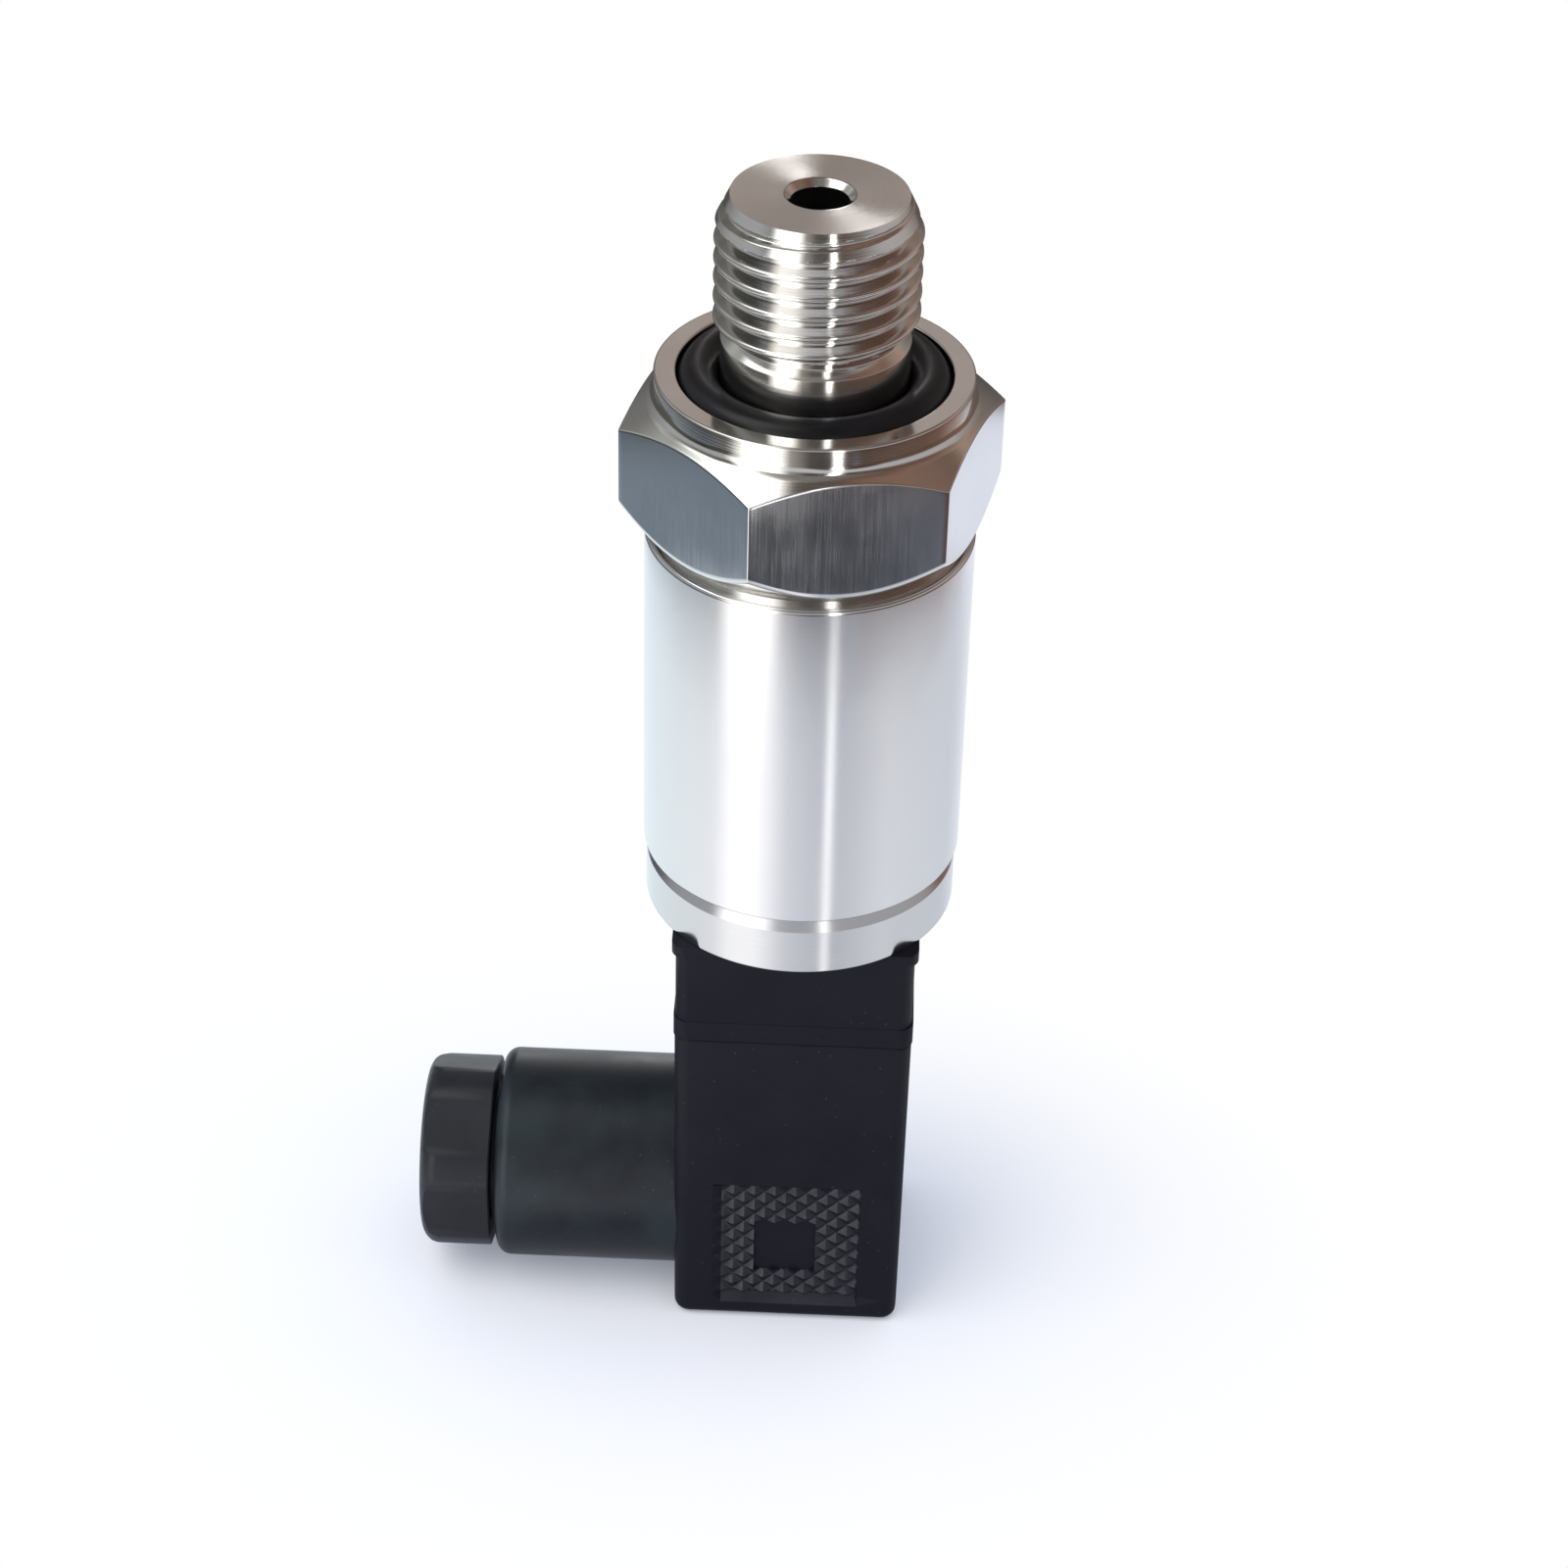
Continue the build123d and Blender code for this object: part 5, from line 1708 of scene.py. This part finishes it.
SKY = Level(
    (
        Band(-180, (0.42, 0.37, 0.34)),
        Band(-168, (0.40, 0.35, 0.32)),
        Band(-150, (0.14, 0.13, 0.12)),
        Band(-138, (0.22, 0.22, 0.21)),
        Band(-125, (0.48, 0.49, 0.47)),
        Band(-104, (0.30, 0.30, 0.28)),
        Band(-84, (0.16, 0.16, 0.15)),
        Band(-57, (0.14, 0.14, 0.13)),
        Band(-46, (2.6, 2.6, 2.5), until=-28),
        Band(-15, (0.35, 0.33, 0.31)),
        Band(-2, (0.10, 0.09, 0.08)),
        Band(15, (0.08, 0.07, 0.065)),
        Band(16.5, (4.0, 3.9, 3.8), until=20),
        Band(22.5, (0.09, 0.065, 0.05)),
        Band(60, (0.14, 0.085, 0.06)),
        Band(95, (0.17, 0.10, 0.075)),
        Band(130, (0.42, 0.30, 0.24)),
        Band(150, (0.22, 0.17, 0.14)),
        Band(168, (0.38, 0.33, 0.30)),
    ),
    (0.26, 0.38),
)
OVERHEAD = Level(
    (
        Band(-180, (0.13, 0.11, 0.10)),
        Band(-134, (0.13, 0.13, 0.12)),
        Band(-120, (0.50, 0.51, 0.48)),
        Band(-102, (1.9, 1.95, 1.9)),
        Band(-84, (2.4, 2.4, 2.3)),
        Band(-52, (1.8, 1.8, 1.75)),
        Band(-36, (0.5, 0.48, 0.44)),
        Band(-14, (0.22, 0.21, 0.20)),
        Band(16, (0.20, 0.19, 0.18)),
        Band(60, (0.15, 0.09, 0.07)),
        Band(98, (0.26, 0.155, 0.115)),
        Band(130, (0.16, 0.105, 0.085)),
    ),
    (0.56, 0.68),
)
ZENITH = Level((Band(-180, (0.11, 0.09, 0.08)),), (0.975, 0.992))
FAR_TABLE = Level(LOW_SKY.bands, (0.42, 0.55))


@dataclass
class Studio:
    """Floor, light and camera, set as in the photograph."""

    lens_px: float = 3774.05
    image_px: float = 1600.0
    distance: float = 255.93
    elevation: float = 35.61
    azimuth: float = 0.9
    aim_z: float = 38.4
    pan: float = 0.283
    tilt: float = 0.674
    roll: float = -1.762
    sensor_width: float = 36.0
    clip_metres: tuple[float, float] = (0.01, 20.0)
    floor_half: float = 3000.0
    floor_drop: float = 0.05
    floor_colour: Colour = (0.93, 0.94, 0.95)
    floor_glow: Colour = (0.80, 0.86, 1.0)
    floor_glow_strength: float = 0.20
    oval_shift: float = 6.7
    oval_squash: float = 0.67
    oval_reach: tuple[float, float] = (10.0, 38.0)
    daylight: Colour = (0.80, 0.85, 1.0)
    daylight_strength: float = 0.78
    lamp_distance: float = 900.0
    lamp_aim_z: float = 45.0
    room: Room = Room(
        (SHADED_TABLE, NEAR_TABLE, TABLE_EDGE, BEYOND_TABLE, FAR_TABLE), (LOW_SKY, SKY, OVERHEAD, ZENITH)
    )

    def camera(self) -> None:
        """Camera on a sphere round the sleeve's lower end, then panned, tilted and rolled a little."""
        rise = math.radians(self.elevation)
        away = Vector((0, -math.cos(rise), math.sin(rise))) * self.distance
        ahead = -away.normalized()
        right = Vector((1, 0, 0))
        level = Matrix((right, right.cross(ahead), ahead))
        pan = Matrix.Rotation(math.radians(self.pan), 3, "Y")
        tilt = Matrix.Rotation(math.radians(self.tilt), 3, "X")
        roll = Matrix.Rotation(math.radians(self.roll), 3, "Z")
        rows = roll @ tilt @ pan @ level
        about = Matrix.Rotation(math.radians(self.azimuth), 3, "Z")
        right, up, ahead = (about @ rows[i] for i in range(3))
        data = bpy.data.cameras.new("camera")
        data.sensor_width = self.sensor_width
        data.lens = self.lens_px / self.image_px * self.sensor_width
        data.clip_start, data.clip_end = self.clip_metres
        camera = placed("camera", data)
        place = about @ (away + Vector((0, 0, self.aim_z)))
        turn = Matrix((right, up, -ahead)).transposed().to_4x4()
        camera.matrix_world = Matrix.Translation(place * MM) @ turn
        bpy.context.scene.camera = camera

    def floor(self, room: bpy.types.NodeTree) -> None:
        """Pale floor just under the object.

        The camera sees it lit and shadowed and with a little glow of its own, inside an oval round the
        object, beyond which it turns plain white. Reflections see the room's floor bands in its place.
        """
        half = self.floor_half * MM
        corners = ((-half, -half), (half, -half), (half, half), (-half, half))
        mesh = bpy.data.meshes.new("floor")
        mesh.from_pydata([(x, y, -self.floor_drop * MM) for x, y in corners], [], [(0, 1, 2, 3)])
        piece = placed("floor", mesh)
        material, nodes, shader = start_material("pale_floor")
        nodes.feed(shader, "Base Color", self.floor_colour)
        nodes.feed(shader, "Roughness", 1.0)
        nodes.feed(shader, "Specular IOR Level", 0.0)
        place = nodes.add("ShaderNodeTexCoord").outputs["Object"]
        shift = (self.oval_shift * MM, 0, 0)
        squash = (self.oval_squash, 1.0, 1.0)
        oval = nodes.add("ShaderNodeMapping", Location=shift, Scale=squash, Vector=place)
        reach = [radius * MM for radius in self.oval_reach]
        outward = nodes.spread(nodes.length(oval.outputs[0]), reach, smooth=True)
        rays = nodes.add("ShaderNodeLightPath").outputs
        glow = nodes.add("ShaderNodeEmission", Color=self.floor_glow, Strength=self.floor_glow_strength)
        white = nodes.add("ShaderNodeEmission", Color=WHITE, Strength=1.0)
        lifted = nodes.add("ShaderNodeAddShader")
        nodes.feed(lifted, 0, shader.outputs[0])
        nodes.feed(lifted, 1, glow.outputs[0])
        near = nodes.mix_shader(outward, lifted.outputs[0], white.outputs[0])
        seen = nodes.mix_shader(rays["Is Camera Ray"], shader.outputs[0], near)
        colour = nodes.group(room, Direction=place).outputs["Floor"]
        mirrored = nodes.add("ShaderNodeEmission", Color=colour, Strength=1.0)
        surface = nodes.mix_shader(rays["Is Glossy Ray"], seen, mirrored.outputs[0])
        nodes.feed(material.node_tree.nodes["Material Output"], "Surface", surface)
        mesh.materials.append(material)

    def world(self, room: bpy.types.NodeTree) -> None:
        """Surroundings: white to the camera, the room's bands in reflections and plain as light."""
        world = bpy.data.worlds.new("studio")
        bpy.context.scene.world = world
        world.use_nodes = True
        world.node_tree.nodes.clear()
        nodes = Nodes(world.node_tree)
        rays = nodes.add("ShaderNodeLightPath").outputs
        seen = nodes.math("MAXIMUM", rays["Is Camera Ray"], rays["Is Transmission Ray"])
        light = nodes.add("ShaderNodeBackground", Color=self.daylight, Strength=self.daylight_strength)
        white = nodes.add("ShaderNodeBackground", Color=WHITE, Strength=1.0)
        direction = nodes.add("ShaderNodeTexCoord").outputs["Generated"]
        colour = nodes.group(room, Direction=direction).outputs["Sky"]
        mirrored = nodes.add("ShaderNodeBackground", Color=colour, Strength=1.0)
        lit = nodes.mix_shader(rays["Is Glossy Ray"], light.outputs[0], mirrored.outputs[0])
        output = nodes.add("ShaderNodeOutputWorld")
        nodes.feed(output, "Surface", nodes.mix_shader(seen, lit, white.outputs[0]))

    def lamp(self, name: str, place: tuple[float, float], size: float, power: float, colour: Colour) -> None:
        """Square area light aimed at the object's middle.

        Args:
            name: the light's name.
            place: degrees from the front towards +X, and degrees above the floor.
            size: width in metres.
            power: watts.
            colour: its tint.
        """
        data = bpy.data.lights.new(name, "AREA")
        data.size = size
        data.energy = power
        data.color = colour
        light = placed(name, data)
        side, rise = (math.radians(angle) for angle in place)
        back = Vector((math.sin(side) * math.cos(rise), -math.cos(side) * math.cos(rise), math.sin(rise)))
        light.location = (Vector((0, 0, self.lamp_aim_z)) + back * self.lamp_distance) * MM
        light.rotation_euler = (-back).to_track_quat("-Z", "Y").to_euler()
        light.visible_camera = False
        light.visible_glossy = False

    def build(self) -> None:
        """Set the stage."""
        room = self.room.group()
        self.camera()
        self.floor(room)
        self.world(room)
        self.lamp("window", place=(-55, 52), size=0.8, power=3.6, colour=(1.0, 0.94, 0.84))
        bpy.context.scene.view_settings.view_transform = "Standard"


def main() -> None:
    """Build every sub-assembly in order."""
    logging.basicConfig(level=logging.INFO, format="%(name)s: %(message)s")
    finishes = Finishes()
    connection = Connection().build(finishes)
    made = [connection, *Body().build(finishes), Plug().build(finishes), Gland().build(finishes)]
    made.append(Screw().build(finishes))
    CarriedOver().build(finishes)
    Studio().build()
    for piece in made:
        LOG.info("%s: %d faces", piece.name, len(piece.data.polygons))


if __name__ == "__main__":
    main()
